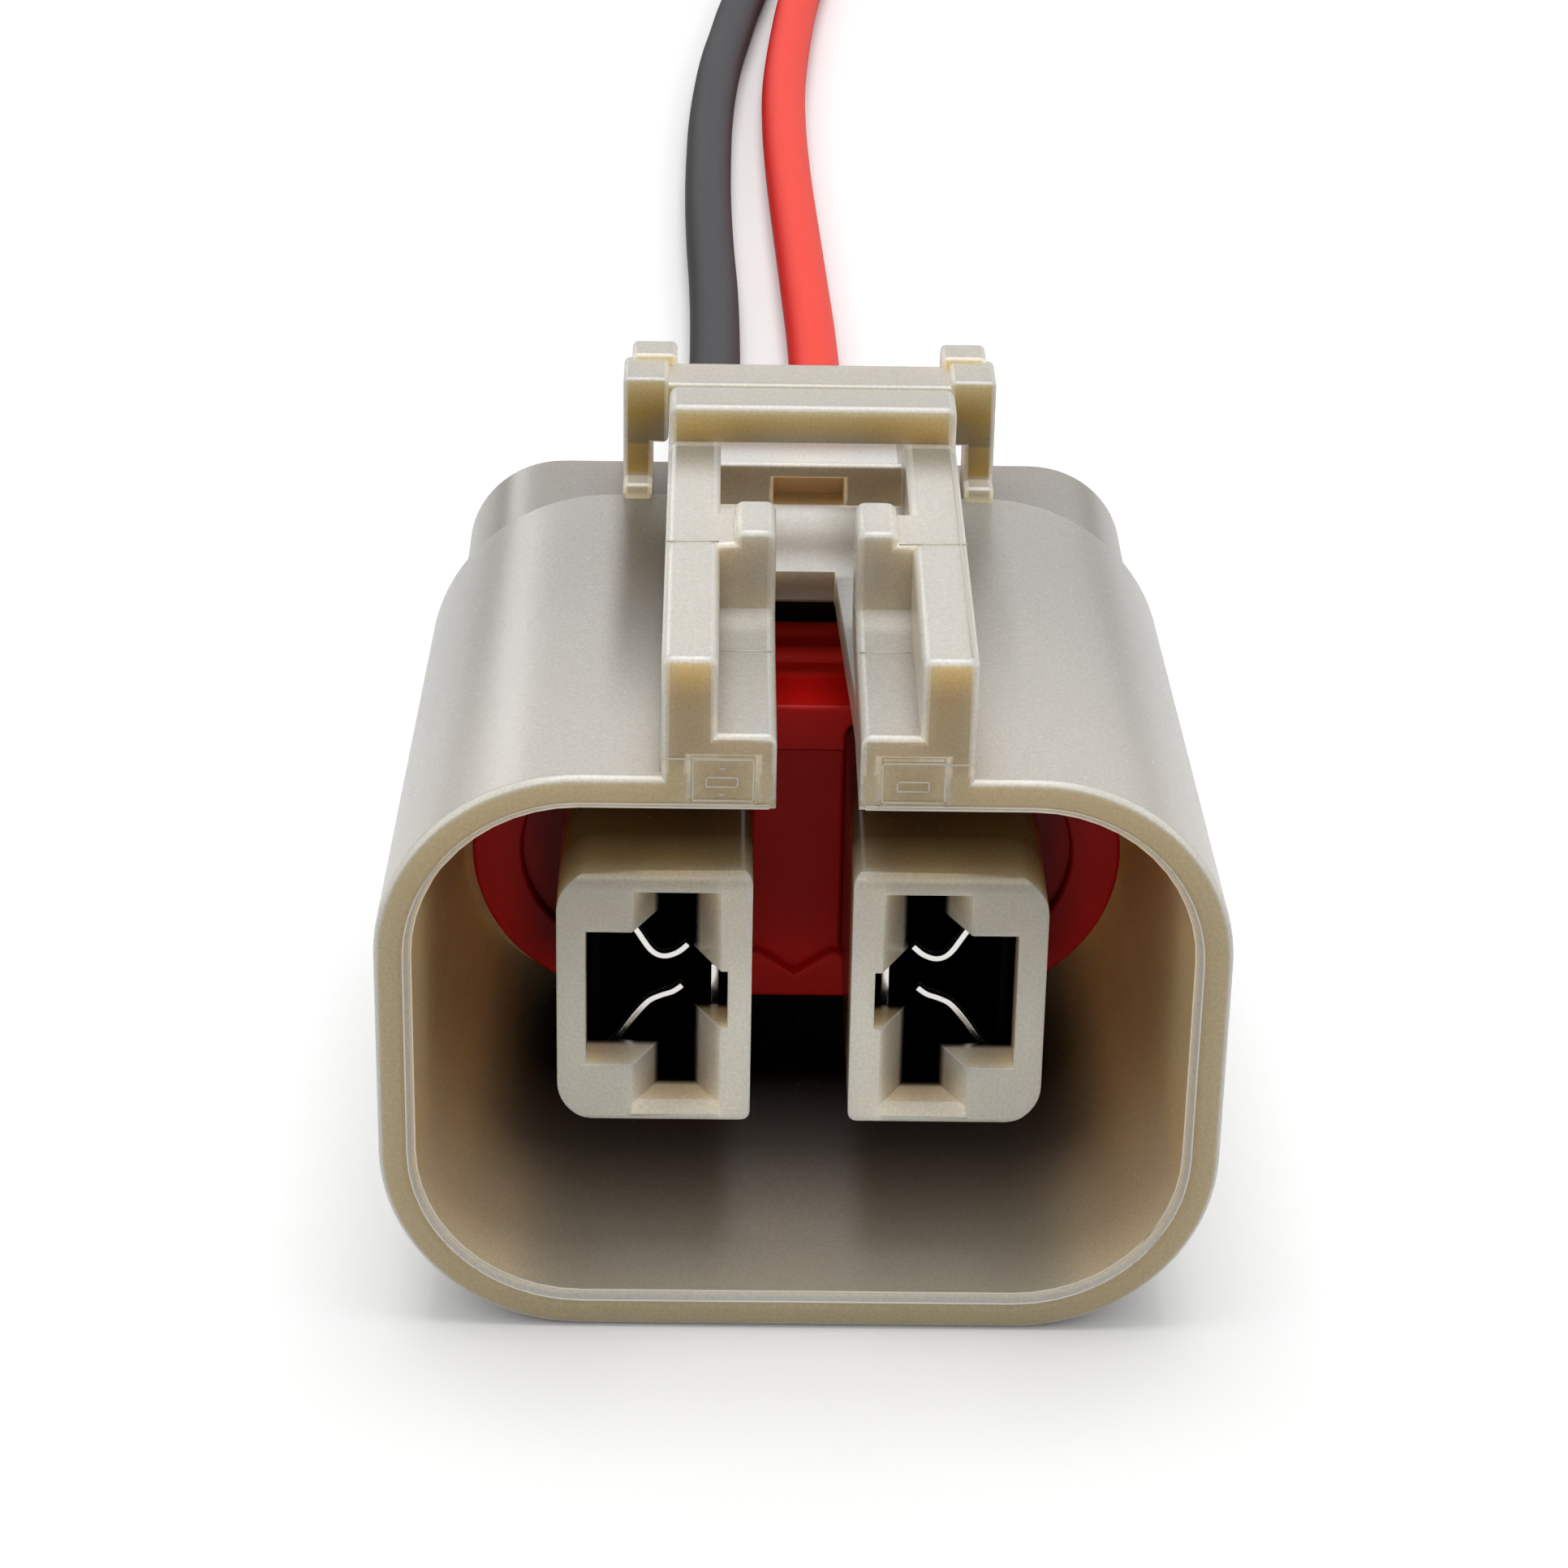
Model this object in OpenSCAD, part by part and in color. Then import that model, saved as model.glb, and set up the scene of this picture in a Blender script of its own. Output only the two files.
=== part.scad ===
// Two-way sealed alternator wiring plug with a press-to-release latch and two leads.
// Y runs from the mouth of the hood to its rear, Z is up, and the hood's floor lies on z = 0.

/* [Core and bores] */
// Distance between the middles of the two towers
tower_pitch = 10.5; // [10:0.1:11]
// Bore that takes a wire seal
bore_d = 8.4; // [8:0.1:8.8]
// Least wall round a bore
bore_wall = 1.05; // [0.8:0.05:1.4]
// Width of the core that carries the interface seal
core_w = 22.7; // [22:0.1:24]
// Height of the middle of the core and of the wires in it
core_z = 11.55; // [11:0.05:12]
// Distance from the mouth to the front of the core
core_front = 16.2; // [15:0.1:17]

/* [Hood] */
// Room round the interface seal for the mating shroud, at the mouth
mate_gap = 1.35; // [1.1:0.05:2]
// Wall of the hood
hood_wall = 1.3; // [1:0.1:1.6]
// Height of the hood
hood_h = 22.3; // [21.8:0.1:25]
// Length of the hood from its mouth to its rear edge
hood_len = 24.6; // [24:0.1:28]
// How far each side comes in over the hood's length
hood_draft = 0.6; // [0.1:0.1:0.8]
// Radius of the hood's four long edges
hood_r = 7.2; // [5.5:0.1:7.6]
// Chamfer round the inside of the mouth
mouth_chamfer = 0.45; // [0.2:0.05:0.6]
// Thickness of the bulkhead that closes the hood
bulkhead = 1.5; // [1.2:0.1:1.8]

/* [Rear shell] */
// Length of the narrower shell behind the hood
rear_len = 5.2; // [4.8:0.1:8]
// Step from the hood in to the shell on each side
rear_inset = 1.3; // [0.8:0.1:1.6]
// Step from the hood's roof down to the shell's
rear_step = 0.8; // [0.4:0.1:1.2]
// Height of the shell's floor
rear_lift = 1.6; // [0.4:0.1:2]
// Radius of the shell's long edges
rear_r = 3.8; // [3:0.1:5]
// Wall of the shell and of its bore tubes
rear_wall = 1.3; // [1:0.1:1.5]
// Thickness of the ribs that tie the bore tubes to the shell
rib_t = 1; // [0.8:0.1:1.4]

/* [Towers] */
// Width of a tower
tower_w = 6.95; // [6.8:0.05:7.4]
// Height of a tower
tower_h = 10.2; // [10:0.1:10.6]
// How far the towers sit above the middle of the core
tower_lift = 0.4; // [0.2:0.05:0.6]
// How far the towers stay behind the mouth
tower_setback = 3; // [1:0.1:4]
// Radius of a tower's two outer edges
tower_outer_r = 1.6; // [1:0.1:2]
// Radius of a tower's two inner edges
tower_inner_r = 0.5; // [0.3:0.1:0.8]
// Radius over the front of a tower's top
nose_r = 0.7; // [0.3:0.1:0.7]
// Thickness of a tower's front wall
front_wall = 1.85; // [1.4:0.05:2.2]

/* [Blade slots] */
// Width of a blade slot
slot_w = 1.2; // [1:0.05:1.4]
// Height of a blade slot
slot_h = 8.7; // [8.2:0.1:8.8]
// How far a slot lies inside the middle of its tower
slot_inset = 0.8; // [0.7:0.05:0.9]
// Width of the funnel at the front of a slot
funnel_w = 3.15; // [2.4:0.05:3.2]
// Width from a slot's middle to the outer end of the spring window
window_w = 3.24; // [3.1:0.02:3.3]
// Height of the spring window
window_h = 5.4; // [4.6:0.1:5.6]
// Depth of the small notch on the slot's inner side, past the funnel
notch_w = 0.25; // [0.15:0.05:0.3]
// Height of that small notch
notch_h = 2.3; // [1.8:0.1:2.6]
// Chamfer under the funnel
lip_chamfer = 0.4; // [0.2:0.05:0.4]

/* [Latch] */
// How far the latch sits to the right of the hood's middle
latch_offset = 0.35; // [0:0.05:0.5]
// Width over the two rails
latch_w = 10.75; // [10:0.05:12]
// Width of a rail
rail_w = 1.95; // [1.6:0.05:2.2]
// Height of the rails above the roof
rail_rise = 4.55; // [4:0.05:5]
// Gap that frees the rear of a rail from the roof
rail_slit = 0.5; // [0.3:0.05:0.8]
// Width of the gap between the two ledges
ledge_gap = 2.85; // [2.4:0.05:3.2]
// Height of the ledges above the roof
ledge_rise = 1.65; // [1.2:0.05:2]
// Length of the level part of a ledge
ledge_len = 6.8; // [5:0.1:8]
// Distance from the mouth to the posts
post_y = 9.55; // [9:0.05:10.5]
// Length of a post
post_len = 3.05; // [2.4:0.05:3.6]
// Width of a post
post_w = 1.5; // [1.2:0.05:1.7]
// Height of the posts above the rails
post_rise = 0.45; // [0.2:0.05:0.8]
// Rise of the ramp between a ledge and its post
ramp_rise = 0.4; // [0.2:0.05:0.8]
// Length of the front part of the latch slot that is as wide as the gap between the ledges
slot_mouth = 5.8; // [4:0.1:7]
// Length of the latch slot in the roof
latch_slot_len = 17.4; // [16:0.1:18]
// Width of the latch slot at its rear end, to which it narrows from the right
latch_slot_w = 2.32; // [1.8:0.02:2.4]
// Distance from the mouth to the press pad
pad_y = 18.9; // [18.4:0.1:19.4]
// Length of the press pad
pad_len = 2.25; // [1.8:0.05:2.6]
// Thickness of the press pad
pad_t = 1.4; // [1:0.05:1.8]
// Depth of the two label panels in the rim
panel_depth = 0.08; // [0.05:0.01:0.12]
// Width of a label panel
panel_w = 2.1; // [1.8:0.05:2.3]

/* [Bridge and guard arch] */
// How far the bridge starts before the hood's rear edge
bridge_lead = 1; // [0.6:0.1:1.4]
// Length of the bridge
bridge_len = 3.7; // [3:0.1:4.2]
// Width of the bridge
bridge_w = 7.7; // [6.9:0.1:8.2]
// Height of the bridge above the roof
bridge_rise = 1.7; // [1.5:0.05:2]
// Width of the recess in the bridge
recess_w = 2.7; // [2:0.1:3]
// Height of the recess in the bridge
recess_h = 1.05; // [0.7:0.05:1.2]
// Depth of the recess in the bridge
recess_d = 1.2; // [0.8:0.1:2]
// Width over the guard arch
arch_w = 14.4; // [14.2:0.1:15]
// Length of the guard arch
arch_len = 2.4; // [2:0.1:2.6]
// Width of a leg of the arch
leg_w = 1.15; // [0.9:0.05:1.3]
// Width of an ear of the arch
ear_w = 1.75; // [1.65:0.05:1.8]
// Height of the underside of the ears above the roof
ear_lift = 1.95; // [1.6:0.05:2.4]
// Height of the ears above the roof
ear_rise = 4.65; // [4.5:0.05:5]
// How far the bar between the ears lies below their tops
bar_drop = 0.25; // [0.1:0.05:0.5]
// Thickness of the bar between the ears
bar_t = 1.4; // [1:0.1:1.6]
// Length of the block behind each ear
ear_block_len = 1.2; // [0.8:0.1:1.4]

/* [Interface seal] */
// Thickness of the seal's sleeve
seal_t = 1; // [0.8:0.05:1.2]
// Gap between the sleeve's rear end and the bulkhead
sleeve_gap = 0.7; // [0.5:0.1:1.5]
// Thickness of the seal's front
seal_front_t = 1.2; // [1:0.1:1.6]
// Width of the raised ring round the seal's front
seal_ring_w = 1.9; // [1.4:0.1:2.2]
// Height of the raised ring
seal_ring_rise = 0.5; // [0.3:0.05:0.7]
// Width of the notch in the ring, below the middle
seal_notch_w = 2.6; // [2:0.1:3]
// Depth of the notch in the ring
seal_notch_h = 0.9; // [0.6:0.1:1.2]
// Radius of a sealing bead
bead_r = 0.45; // [0.3:0.05:0.55]

/* [Terminals and wires] */
// Sheet metal of a terminal
metal_t = 0.3; // [0.25:0.05:0.35]
// Thickness of a terminal's spring leaves
leaf_t = 0.24; // [0.2:0.02:0.3]
// Wall of a crimp barrel
crimp_t = 0.45; // [0.4:0.05:0.6]
// Outside diameter of a wire
wire_d = 2.75; // [2.4:0.05:2.8]
// Diameter of a wire's bundle of strands
core_d = 1.9; // [1.5:0.05:2]
// Length of a wire seal
wire_seal_len = 6.6; // [6:0.1:7]
// Height of the ribs on a wire seal
wire_rib = 0.6; // [0.4:0.05:0.8]
// Length of bare strands at the far end of a lead
bare_len = 6; // [4:0.5:8]

/* [Hidden] */
$fn = 64;

plastic = "#c3bfb4";
silicone = "#8e1512";
tinned = "#d9d6cf";
copper = "#c47a4a";
black_skin = "#3a3c40";
red_skin = "#f0423c";

// Overlap of pieces that are one moulding, and overrun of cuts
join = 0.4;
over = 1;

// Core, seal and hood, from the inside out
core_h = bore_d + 2 * bore_wall;
seal_w = core_w + 2 * seal_t;
seal_h = core_h + 2 * seal_t;
hood_w = seal_w + 2 * (mate_gap + hood_wall);
body_len = hood_len + rear_len;
bulkhead_y = hood_len - bulkhead;
sleeve_len = bulkhead_y - sleeve_gap - core_front;
function hood_w_at(y) = hood_w - 2 * hood_draft * y / hood_len;
rear_w = hood_w_at(hood_len) - 2 * rear_inset;
rear_top = hood_h - rear_step;

// Towers and their cavities, in the right tower's own frame: +X is outwards
tower_z = core_z + tower_lift;
tower_low = tower_z - tower_h / 2;
tower_high = tower_z + tower_h / 2;
chamber_y = tower_setback + front_wall;
chamber_out = window_w - slot_inset;
chamber_in = slot_inset + funnel_w / 2 + notch_w;
chamber_h = 7;

// Terminals: the outer plate lies a little inside the chamber's outer wall
terminal_fit = 0.15;
terminal_setback = 0.45;
receptacle_len = 7;
plate_in = chamber_out - terminal_fit - metal_t;
plate_mid = plate_in + metal_t / 2;
plate_h = chamber_h - 2 * terminal_fit;
terminal_front = chamber_y + terminal_setback;
terminal_back = terminal_front + receptacle_len;

// Spring leaves: points of their curves, outwards from the blade and up from the terminal's axis
leaf_steps = 4;
leaf_root_inset = 0.1;
upper_leaf = [[2.05, 2.8], [1.49, 1.98], [0.96, 1.15], [0.5, 0.9], [0, 1.05], [-0.4, 1.4]];
lower_leaf = [[2.21, -2.6], [1.57, -1.65], [1.05, -1], [0.6, -0.74], [0.15, -0.57], [-0.2, -0.3]];
spring_low = -1.05;
spring_high = 0.6;
strap_h = 2;

// Crimps and bores: a wire lies against its terminal's outer plate
wire_shift = plate_in - wire_d / 2;
wire_x = tower_pitch / 2 + wire_shift;
crimp_gap = 1.2;
strip_gap = 1;
brush_len = 0.6;
conductor_crimp_len = 3;
insulation_crimp_len = 2.6;
conductor_crimp_y = terminal_back + crimp_gap;
conductor_crimp_t = plate_mid - wire_shift - core_d / 2;
wire_front = conductor_crimp_y + conductor_crimp_len + strip_gap;
bore_setback = 0.8;
bore_front = core_front + bore_setback;
wire_seal_sink = 0.5;
exit_y = body_len - wire_seal_sink;
wire_seal_y = exit_y - wire_seal_len;

// Latch and arch, in the latch's own frame
rail_out = latch_w / 2;
rail_in = rail_out - rail_w;
rail_top = hood_h + rail_rise;
rail_end = pad_y + pad_len;
ledge_top = hood_h + ledge_rise;
rail_root = 1;
free_y = post_y + post_len + rail_root;
bridge_y = hood_len - bridge_lead;
bridge_top = hood_h + bridge_rise;
arch_gap = 0.3;
arch_y = hood_len + arch_gap;
arch_end = arch_y + arch_len;
arch_out = arch_w / 2;
ear_low = hood_h + ear_lift;
ear_top = hood_h + ear_rise;
panel_x = 3.25;
panel_rise = 0.75;
panel_top = hood_h + panel_rise;

// Leads: X and Z from the object's own axes, Y from the rear of the housing
straight_out = 5;
black_route = [
    [-5.75, 10, 10.95], [-5.5, 16, 9.5], [-5.1, 22, 7.3], [-4.6, 28, 5], [-4.15, 34, 3.1],
    [-3.8, 40, 1.9], [-3.55, 46, 1.5], [-3.4, 52, 1.4], [-3.35, 58, 1.4], [-3.35, 65, 1.4],
    [-3.45, 72, 1.4], [-3.7, 80, 1.4], [-3.85, 88, 1.4], [-3.85, 95, 1.4], [-3.75, 102, 1.4],
    [-3.5, 108, 1.4], [-3.1, 114, 1.4], [-2.6, 119, 1.4], [-2.1, 124, 1.4], [-1.6, 128, 1.4],
    [-1, 133, 1.4], [-0.3, 138, 1.4], [0.4, 143, 1.4],
];
red_route = [
    [5.7, 10, 10.95], [5.35, 16, 9.5], [4.85, 22, 7.3], [4.25, 28, 5], [3.6, 34, 3.1],
    [3, 40, 1.9], [2.55, 46, 1.5], [2.25, 52, 1.4], [2.1, 58, 1.4], [1.95, 65, 1.4],
    [1.7, 72, 1.4], [1.4, 80, 1.4], [1.1, 88, 1.4], [0.9, 95, 1.4], [0.8, 102, 1.4],
    [0.85, 108, 1.4], [1.1, 114, 1.4], [1.4, 119, 1.4], [1.75, 124, 1.4], [2.1, 128, 1.4],
    [2.6, 133, 1.4], [3.2, 138, 1.4], [3.8, 143, 1.4],
];

// Puts the mouth's own frame on the part's origin, in the middle of the body's length
module seat() {
    translate([0, -body_len / 2, 0]) children();
}

// Extrudes an outline drawn in X and Z along Y
module along_y(from, to) {
    translate([0, to, 0]) rotate([90, 0, 0]) linear_extrude(to - from) children();
}

// Extrudes an outline drawn in Y and Z along X
module along_x(from, to) {
    translate([from, 0, 0]) rotate([90, 0, 90]) linear_extrude(to - from) children();
}

// A block between two corners
module block(low, high) {
    translate(low) cube(high - low);
}

// A shape and its mirror image about the middle plane
module both_sides() {
    children();
    mirror([1, 0, 0]) children();
}

// A rectangle with its own radius at each corner, counter-clockwise from the lower left
module rounded(low, high, r) {
    corner = [low, [high.x, low.y], high, [low.x, high.y]];
    turn = [[1, 0], [0, 1], [-1, 0], [0, -1]];
    polygon([
        for (i = [0:3])
            each r[i] > 0
                ? [corner[i] - r[i] * turn[(i + 3) % 4], corner[i] + r[i] * turn[i]]
                : [corner[i]]
    ]);
    for (i = [0:3])
        if (r[i] > 0)
            translate(corner[i] + r[i] * (turn[i] - turn[(i + 3) % 4])) circle(r[i]);
}

// An outline with two straight sides and two half-round ends
module obround(w, h) {
    square([w - h, h], center = true);
    for (side = [-1, 1])
        translate([side * (w - h) / 2, 0]) circle(d = h);
}

// A trapezoid in X and Y, w0 wide at y0 and w1 wide at y1
module trapezoid(w0, w1, y0, y1) {
    polygon([[-w0 / 2, y0], [w0 / 2, y0], [w1 / 2, y1], [-w1 / 2, y1]]);
}

// The right side of the hood's outline, set in by a wall, as a prism that leans in by the draft
module drafted_side(inset, from, to) {
    lean = atan(hood_draft / hood_len);
    r = hood_r - inset;
    translate([hood_w_at(from) / 2 - inset, from, 0])
        rotate([0, 0, lean])
            along_y(-r, to - from + r)
                rounded([-2 * hood_w, inset], [0, hood_h - inset], [0, r, r, 0]);
}

// A hood-shaped block between two places along Y: what the two leaning sides have in common
module drafted_block(inset, from, to) {
    intersection() {
        drafted_side(inset, from, to);
        mirror([1, 0, 0]) drafted_side(inset, from, to);
        block([-hood_w, from, 0], [hood_w, to, hood_h]);
    }
}

// The chamfer round the inside of the mouth, as a cut that runs on into the free space behind it
module mouth_flare() {
    c = mouth_chamfer;
    corner_ease = 0.1;
    r = hood_r - hood_wall + corner_ease;
    x = hood_w / 2 - hood_wall;
    low = hood_wall;
    high = hood_h - hood_wall;
    translate([0, 0, low + r])
        linear_extrude(high - low - 2 * r)
            trapezoid(2 * (x + c), 2 * (x - c), 0, 2 * c);
    along_x(r - x, x - r)
        polygon([[0, low - c], [2 * c, low + c], [2 * c, high - c], [0, high + c]]);
    for (side = [-1, 1], z = [low + r, high - r])
        translate([side * (x - r), 0, z])
            rotate([-90, 0, 0])
                cylinder(h = 2 * c, r1 = r + c, r2 = r - c);
}

// The hood: a drafted shell that is open at the mouth and closed by the bulkhead
module hood() {
    difference() {
        drafted_block(0, 0, hood_len);
        drafted_block(hood_wall, -over, bulkhead_y);
        mouth_flare();
    }
}

// The core behind the interface seal
module core() {
    along_y(core_front, bulkhead_y + join)
        translate([0, core_z]) obround(core_w, core_h);
}

// The outside of the right tower
module tower() {
    translate([tower_pitch / 2, 0, 0])
        intersection() {
            along_y(tower_setback, core_front + join)
                tower_outline();
            along_x(-tower_w, tower_w)
                rounded(
                    [tower_setback, tower_low],
                    [core_front + join, tower_high],
                    [nose_r / 2, 0, 0, nose_r]
                );
        }
}

// A tower's section
module tower_outline() {
    rounded(
        [-tower_w / 2, tower_low],
        [tower_w / 2, tower_high],
        [tower_inner_r, tower_outer_r, tower_outer_r, tower_inner_r]
    );
}

// The funnel, windows and chamber in the right tower, as a cut
module tower_cavity() {
    front = tower_setback - over;
    slot_low = tower_z - slot_h / 2;
    translate([tower_pitch / 2, 0, 0]) {
        translate([-slot_inset, 0, slot_low])
            linear_extrude(slot_h) {
                trapezoid(funnel_w, funnel_w, front, tower_setback);
                trapezoid(funnel_w, slot_w, tower_setback, chamber_y);
                trapezoid(slot_w, slot_w, tower_setback, terminal_back);
            }
        along_x(-slot_inset - funnel_w / 2, -slot_inset + funnel_w / 2)
            polygon([
                [front, slot_low - lip_chamfer],
                [tower_setback, slot_low - lip_chamfer],
                [tower_setback + lip_chamfer, slot_low],
                [front, slot_low],
            ]);
        block(
            [-slot_inset, front, tower_z - window_h / 2],
            [chamber_out, chamber_y + join, tower_z + window_h / 2]
        );
        block(
            [-chamber_in, front, tower_z - notch_h / 2],
            [-slot_inset, chamber_y + join, tower_z + notch_h / 2]
        );
        block(
            [-chamber_in, chamber_y, core_z - chamber_h / 2],
            [chamber_out, bore_front + join, core_z + chamber_h / 2]
        );
    }
}

// The right wire seal's bore with its lead-in, as a cut
module bore() {
    lead_in = 0.5;
    translate([wire_x, bore_front, core_z])
        rotate([-90, 0, 0]) {
            cylinder(d = bore_d, h = body_len - bore_front + over);
            translate([0, 0, body_len - bore_front - lead_in])
                cylinder(d1 = bore_d, d2 = bore_d + 2 * lead_in, h = lead_in);
        }
}

// The shell behind the hood, with a tube for each bore and the ribs that carry the tubes
module rear_shell() {
    r = [rear_r, rear_r, rear_r, rear_r];
    wall = [rear_wall, rear_wall];
    low = [-rear_w / 2, rear_lift];
    high = [rear_w / 2, rear_top];
    along_y(bulkhead_y + join, body_len) {
        difference() {
            rounded(low, high, r);
            rounded(low + wall, high - wall, r - rear_wall * [1, 1, 1, 1]);
        }
        both_sides() {
            translate([wire_x, core_z]) circle(d = bore_d + 2 * rear_wall);
            translate([wire_x - rib_t / 2, rear_lift + join])
                square([rib_t, rear_top - rear_lift - 2 * join]);
            translate([wire_x, core_z - rib_t / 2])
                square([rear_w / 2 - wire_x - join, rib_t]);
        }
        translate([-rib_t / 2, rear_lift + join])
            square([rib_t, rear_top - rear_lift - 2 * join]);
    }
}

// A rail of the latch: fixed to the roof in front, free of it behind the post
module rail() {
    along_x(rail_in, rail_out)
        polygon([
            [0, hood_h - join],
            [free_y, hood_h - join],
            [free_y, hood_h + rail_slit],
            [rail_end, hood_h + rail_slit],
            [rail_end, rail_top],
            [0, rail_top],
        ]);
}

// A ledge beside the latch slot, with its ramp, its post and the web from the post to the rail
module ledge() {
    low = hood_h - join;
    post_end = post_y + post_len;
    along_x(ledge_gap / 2, rail_in + join)
        polygon([
            [0, low],
            [post_end, low],
            [post_end, ledge_top + ramp_rise],
            [post_y, ledge_top + ramp_rise],
            [ledge_len, ledge_top],
            [0, ledge_top],
        ]);
    block(
        [ledge_gap / 2, post_y, ledge_top],
        [ledge_gap / 2 + post_w, post_end, rail_top + post_rise]
    );
    block(
        [ledge_gap / 2, post_y, ledge_top],
        [rail_in + join, post_end, rail_top]
    );
}

// The press pad that joins the two rails
module press_pad() {
    block([-rail_out, pad_y, rail_top - join], [-rail_in, rail_end, rail_top + pad_t]);
    block([rail_in, pad_y, rail_top - join], [rail_out, rail_end, rail_top + pad_t]);
    block([-rail_out, pad_y, rail_top], [rail_out, rail_end, rail_top + pad_t]);
}

// The bridge across the rear of the roof, with its recess
module bridge() {
    difference() {
        block(
            [-bridge_w / 2, bridge_y, rear_top - join],
            [bridge_w / 2, bridge_y + bridge_len, bridge_top]
        );
        block(
            [-recess_w / 2, bridge_y - over, hood_h],
            [recess_w / 2, bridge_y + recess_d, hood_h + recess_h]
        );
    }
}

// The right half of the guard arch: foot, leg, ear and the block behind the ear
module arch_side() {
    foot_rise = 0.6;
    foot_lead = 0.9;
    block_in = 0.3;
    block_rise = 0.2;
    block([arch_out - leg_w, arch_y, rear_top - join], [arch_out, arch_end, ear_low + join]);
    block(
        [arch_out - leg_w, arch_y - foot_lead, hood_h - join],
        [arch_out, arch_y + join, hood_h + foot_rise]
    );
    block([arch_out - ear_w, arch_y, ear_low], [arch_out, arch_end, ear_top]);
    block(
        [arch_out - ear_w - block_in, arch_end - join, ear_low],
        [arch_out - block_in, arch_end + ear_block_len, ear_top + block_rise]
    );
}

// The bar between the ears
module arch_bar() {
    high = ear_top - bar_drop;
    reach = arch_out - ear_w + join;
    setback = 0.1;
    block([-reach, arch_y + setback, high - bar_t], [reach, arch_end, high]);
}

// The latch, the bridge and the guard arch
module latch() {
    translate([latch_offset, 0, 0]) {
        both_sides() {
            rail();
            ledge();
            arch_side();
        }
        press_pad();
        bridge();
        arch_bar();
    }
}

// The slot in the roof and the label panels in the rim, as a cut
module latch_cuts() {
    low = hood_h - hood_wall - over;
    translate([latch_offset, 0, 0]) {
        translate([0, 0, low])
            linear_extrude(hood_h + over - low)
                polygon([
                    [-ledge_gap / 2, -over],
                    [ledge_gap / 2, -over],
                    [ledge_gap / 2, slot_mouth],
                    [latch_slot_w - ledge_gap / 2, latch_slot_len],
                    [-ledge_gap / 2, latch_slot_len],
                ]);
        both_sides()
            block(
                [panel_x - panel_w / 2, -over, low],
                [panel_x + panel_w / 2, panel_depth, panel_top]
            );
    }
}

// A sealing bead that runs round the sleeve of the interface seal
module bead(y) {
    half = (seal_w - seal_h) / 2;
    translate([0, y, core_z])
        rotate([90, 0, 0]) {
            for (side = [0, 180])
                rotate([0, 0, side])
                    translate([half, 0, 0])
                        rotate([0, 0, -90])
                            rotate_extrude(angle = 180)
                                translate([seal_h / 2, 0]) circle(bead_r);
            for (side = [-1, 1])
                translate([-half, side * seal_h / 2, 0])
                    rotate([0, 90, 0])
                        cylinder(r = bead_r, h = 2 * half);
        }
}

// A bundle of seven strands along Y from the origin
module strands(length) {
    strand_d = core_d / 3;
    rotate([-90, 0, 0]) {
        cylinder(d = strand_d, h = length);
        for (turn = [0:60:300])
            rotate([0, 0, turn])
                translate([strand_d, 0, 0])
                    cylinder(d = strand_d, h = length);
    }
}

// A strip of sheet metal in X and Z along a line of points
module strip(points, t) {
    last = len(points) - 1;
    way = [for (i = [0:last]) points[min(i + 1, last)] - points[max(i - 1, 0)]];
    normal = [for (w = way) [-w.y, w.x] / norm(w)];
    polygon([
        for (i = [0:last]) points[i] + normal[i] * t / 2,
        for (i = [last:-1:0]) points[i] - normal[i] * t / 2,
    ]);
}

// A spring leaf's line: a smooth curve from its root on the outer plate through its points
function leaf(root_z, points) =
    let (p = concat([[plate_mid, root_z]], [for (point = points) point - [slot_inset, 0]]))
    let (last = len(p) - 1)
    [
        for (i = [0:last - 1])
            for (step = [0:leaf_steps - 1])
                let (s = step / leaf_steps)
                let (leave = (p[i + 1] - p[max(i - 1, 0)]) / 2)
                let (reach = (p[min(i + 2, last)] - p[i]) / 2)
                let (part = s * s * (3 - 2 * s))
                p[i] + part * (p[i + 1] - p[i]) + s * (1 - s) * (1 - s) * leave - s * s * (1 - s) * reach,
        p[last],
    ];

// The right terminal: outer plate, two spring leaves, inner spring, and two crimp barrels
module terminal() {
    half = plate_h / 2;
    root = half - leaf_root_inset;
    inner = chamber_in - 2 * terminal_fit;
    plate_out = plate_in + metal_t;
    crimp_end = wire_front + insulation_crimp_len;
    translate([tower_pitch / 2, 0, core_z]) {
        along_y(terminal_front, terminal_back) {
            strip([[plate_mid, -half], [plate_mid, half]], metal_t);
            strip(leaf(root, upper_leaf), leaf_t);
            strip(leaf(-root, lower_leaf), leaf_t);
        }
        block(
            [-inner, terminal_front, spring_low],
            [metal_t - inner, terminal_back, spring_high]
        );
        block(
            [-inner, terminal_back - metal_t, spring_low],
            [plate_out, terminal_back, spring_high]
        );
        block(
            [plate_in, terminal_back - over, -strap_h / 2],
            [plate_out, crimp_end, strap_h / 2]
        );
        translate([wire_shift, 0, 0]) {
            barrel(core_d, conductor_crimp_t, conductor_crimp_y, conductor_crimp_len);
            barrel(wire_d, crimp_t, wire_front, insulation_crimp_len);
        }
    }
}

// A closed crimp barrel along Y, round a bundle or a wire of diameter d
module barrel(d, t, y, length) {
    along_y(y, y + length)
        difference() {
            circle(d = d + 2 * t);
            circle(d = d);
        }
}

// The right wire seal: a silicone plug with three ribs that fills its bore
module wire_seal() {
    rib_len = wire_seal_len / 7;
    translate([wire_x, wire_seal_y, core_z])
        rotate([-90, 0, 0])
            difference() {
                union() {
                    cylinder(d = bore_d - 2 * wire_rib, h = wire_seal_len);
                    for (rib = [1, 3, 5])
                        translate([0, 0, rib * rib_len])
                            cylinder(d = bore_d, h = rib_len);
                }
                translate([0, 0, -over]) cylinder(d = wire_d, h = wire_seal_len + 2 * over);
            }
}

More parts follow.
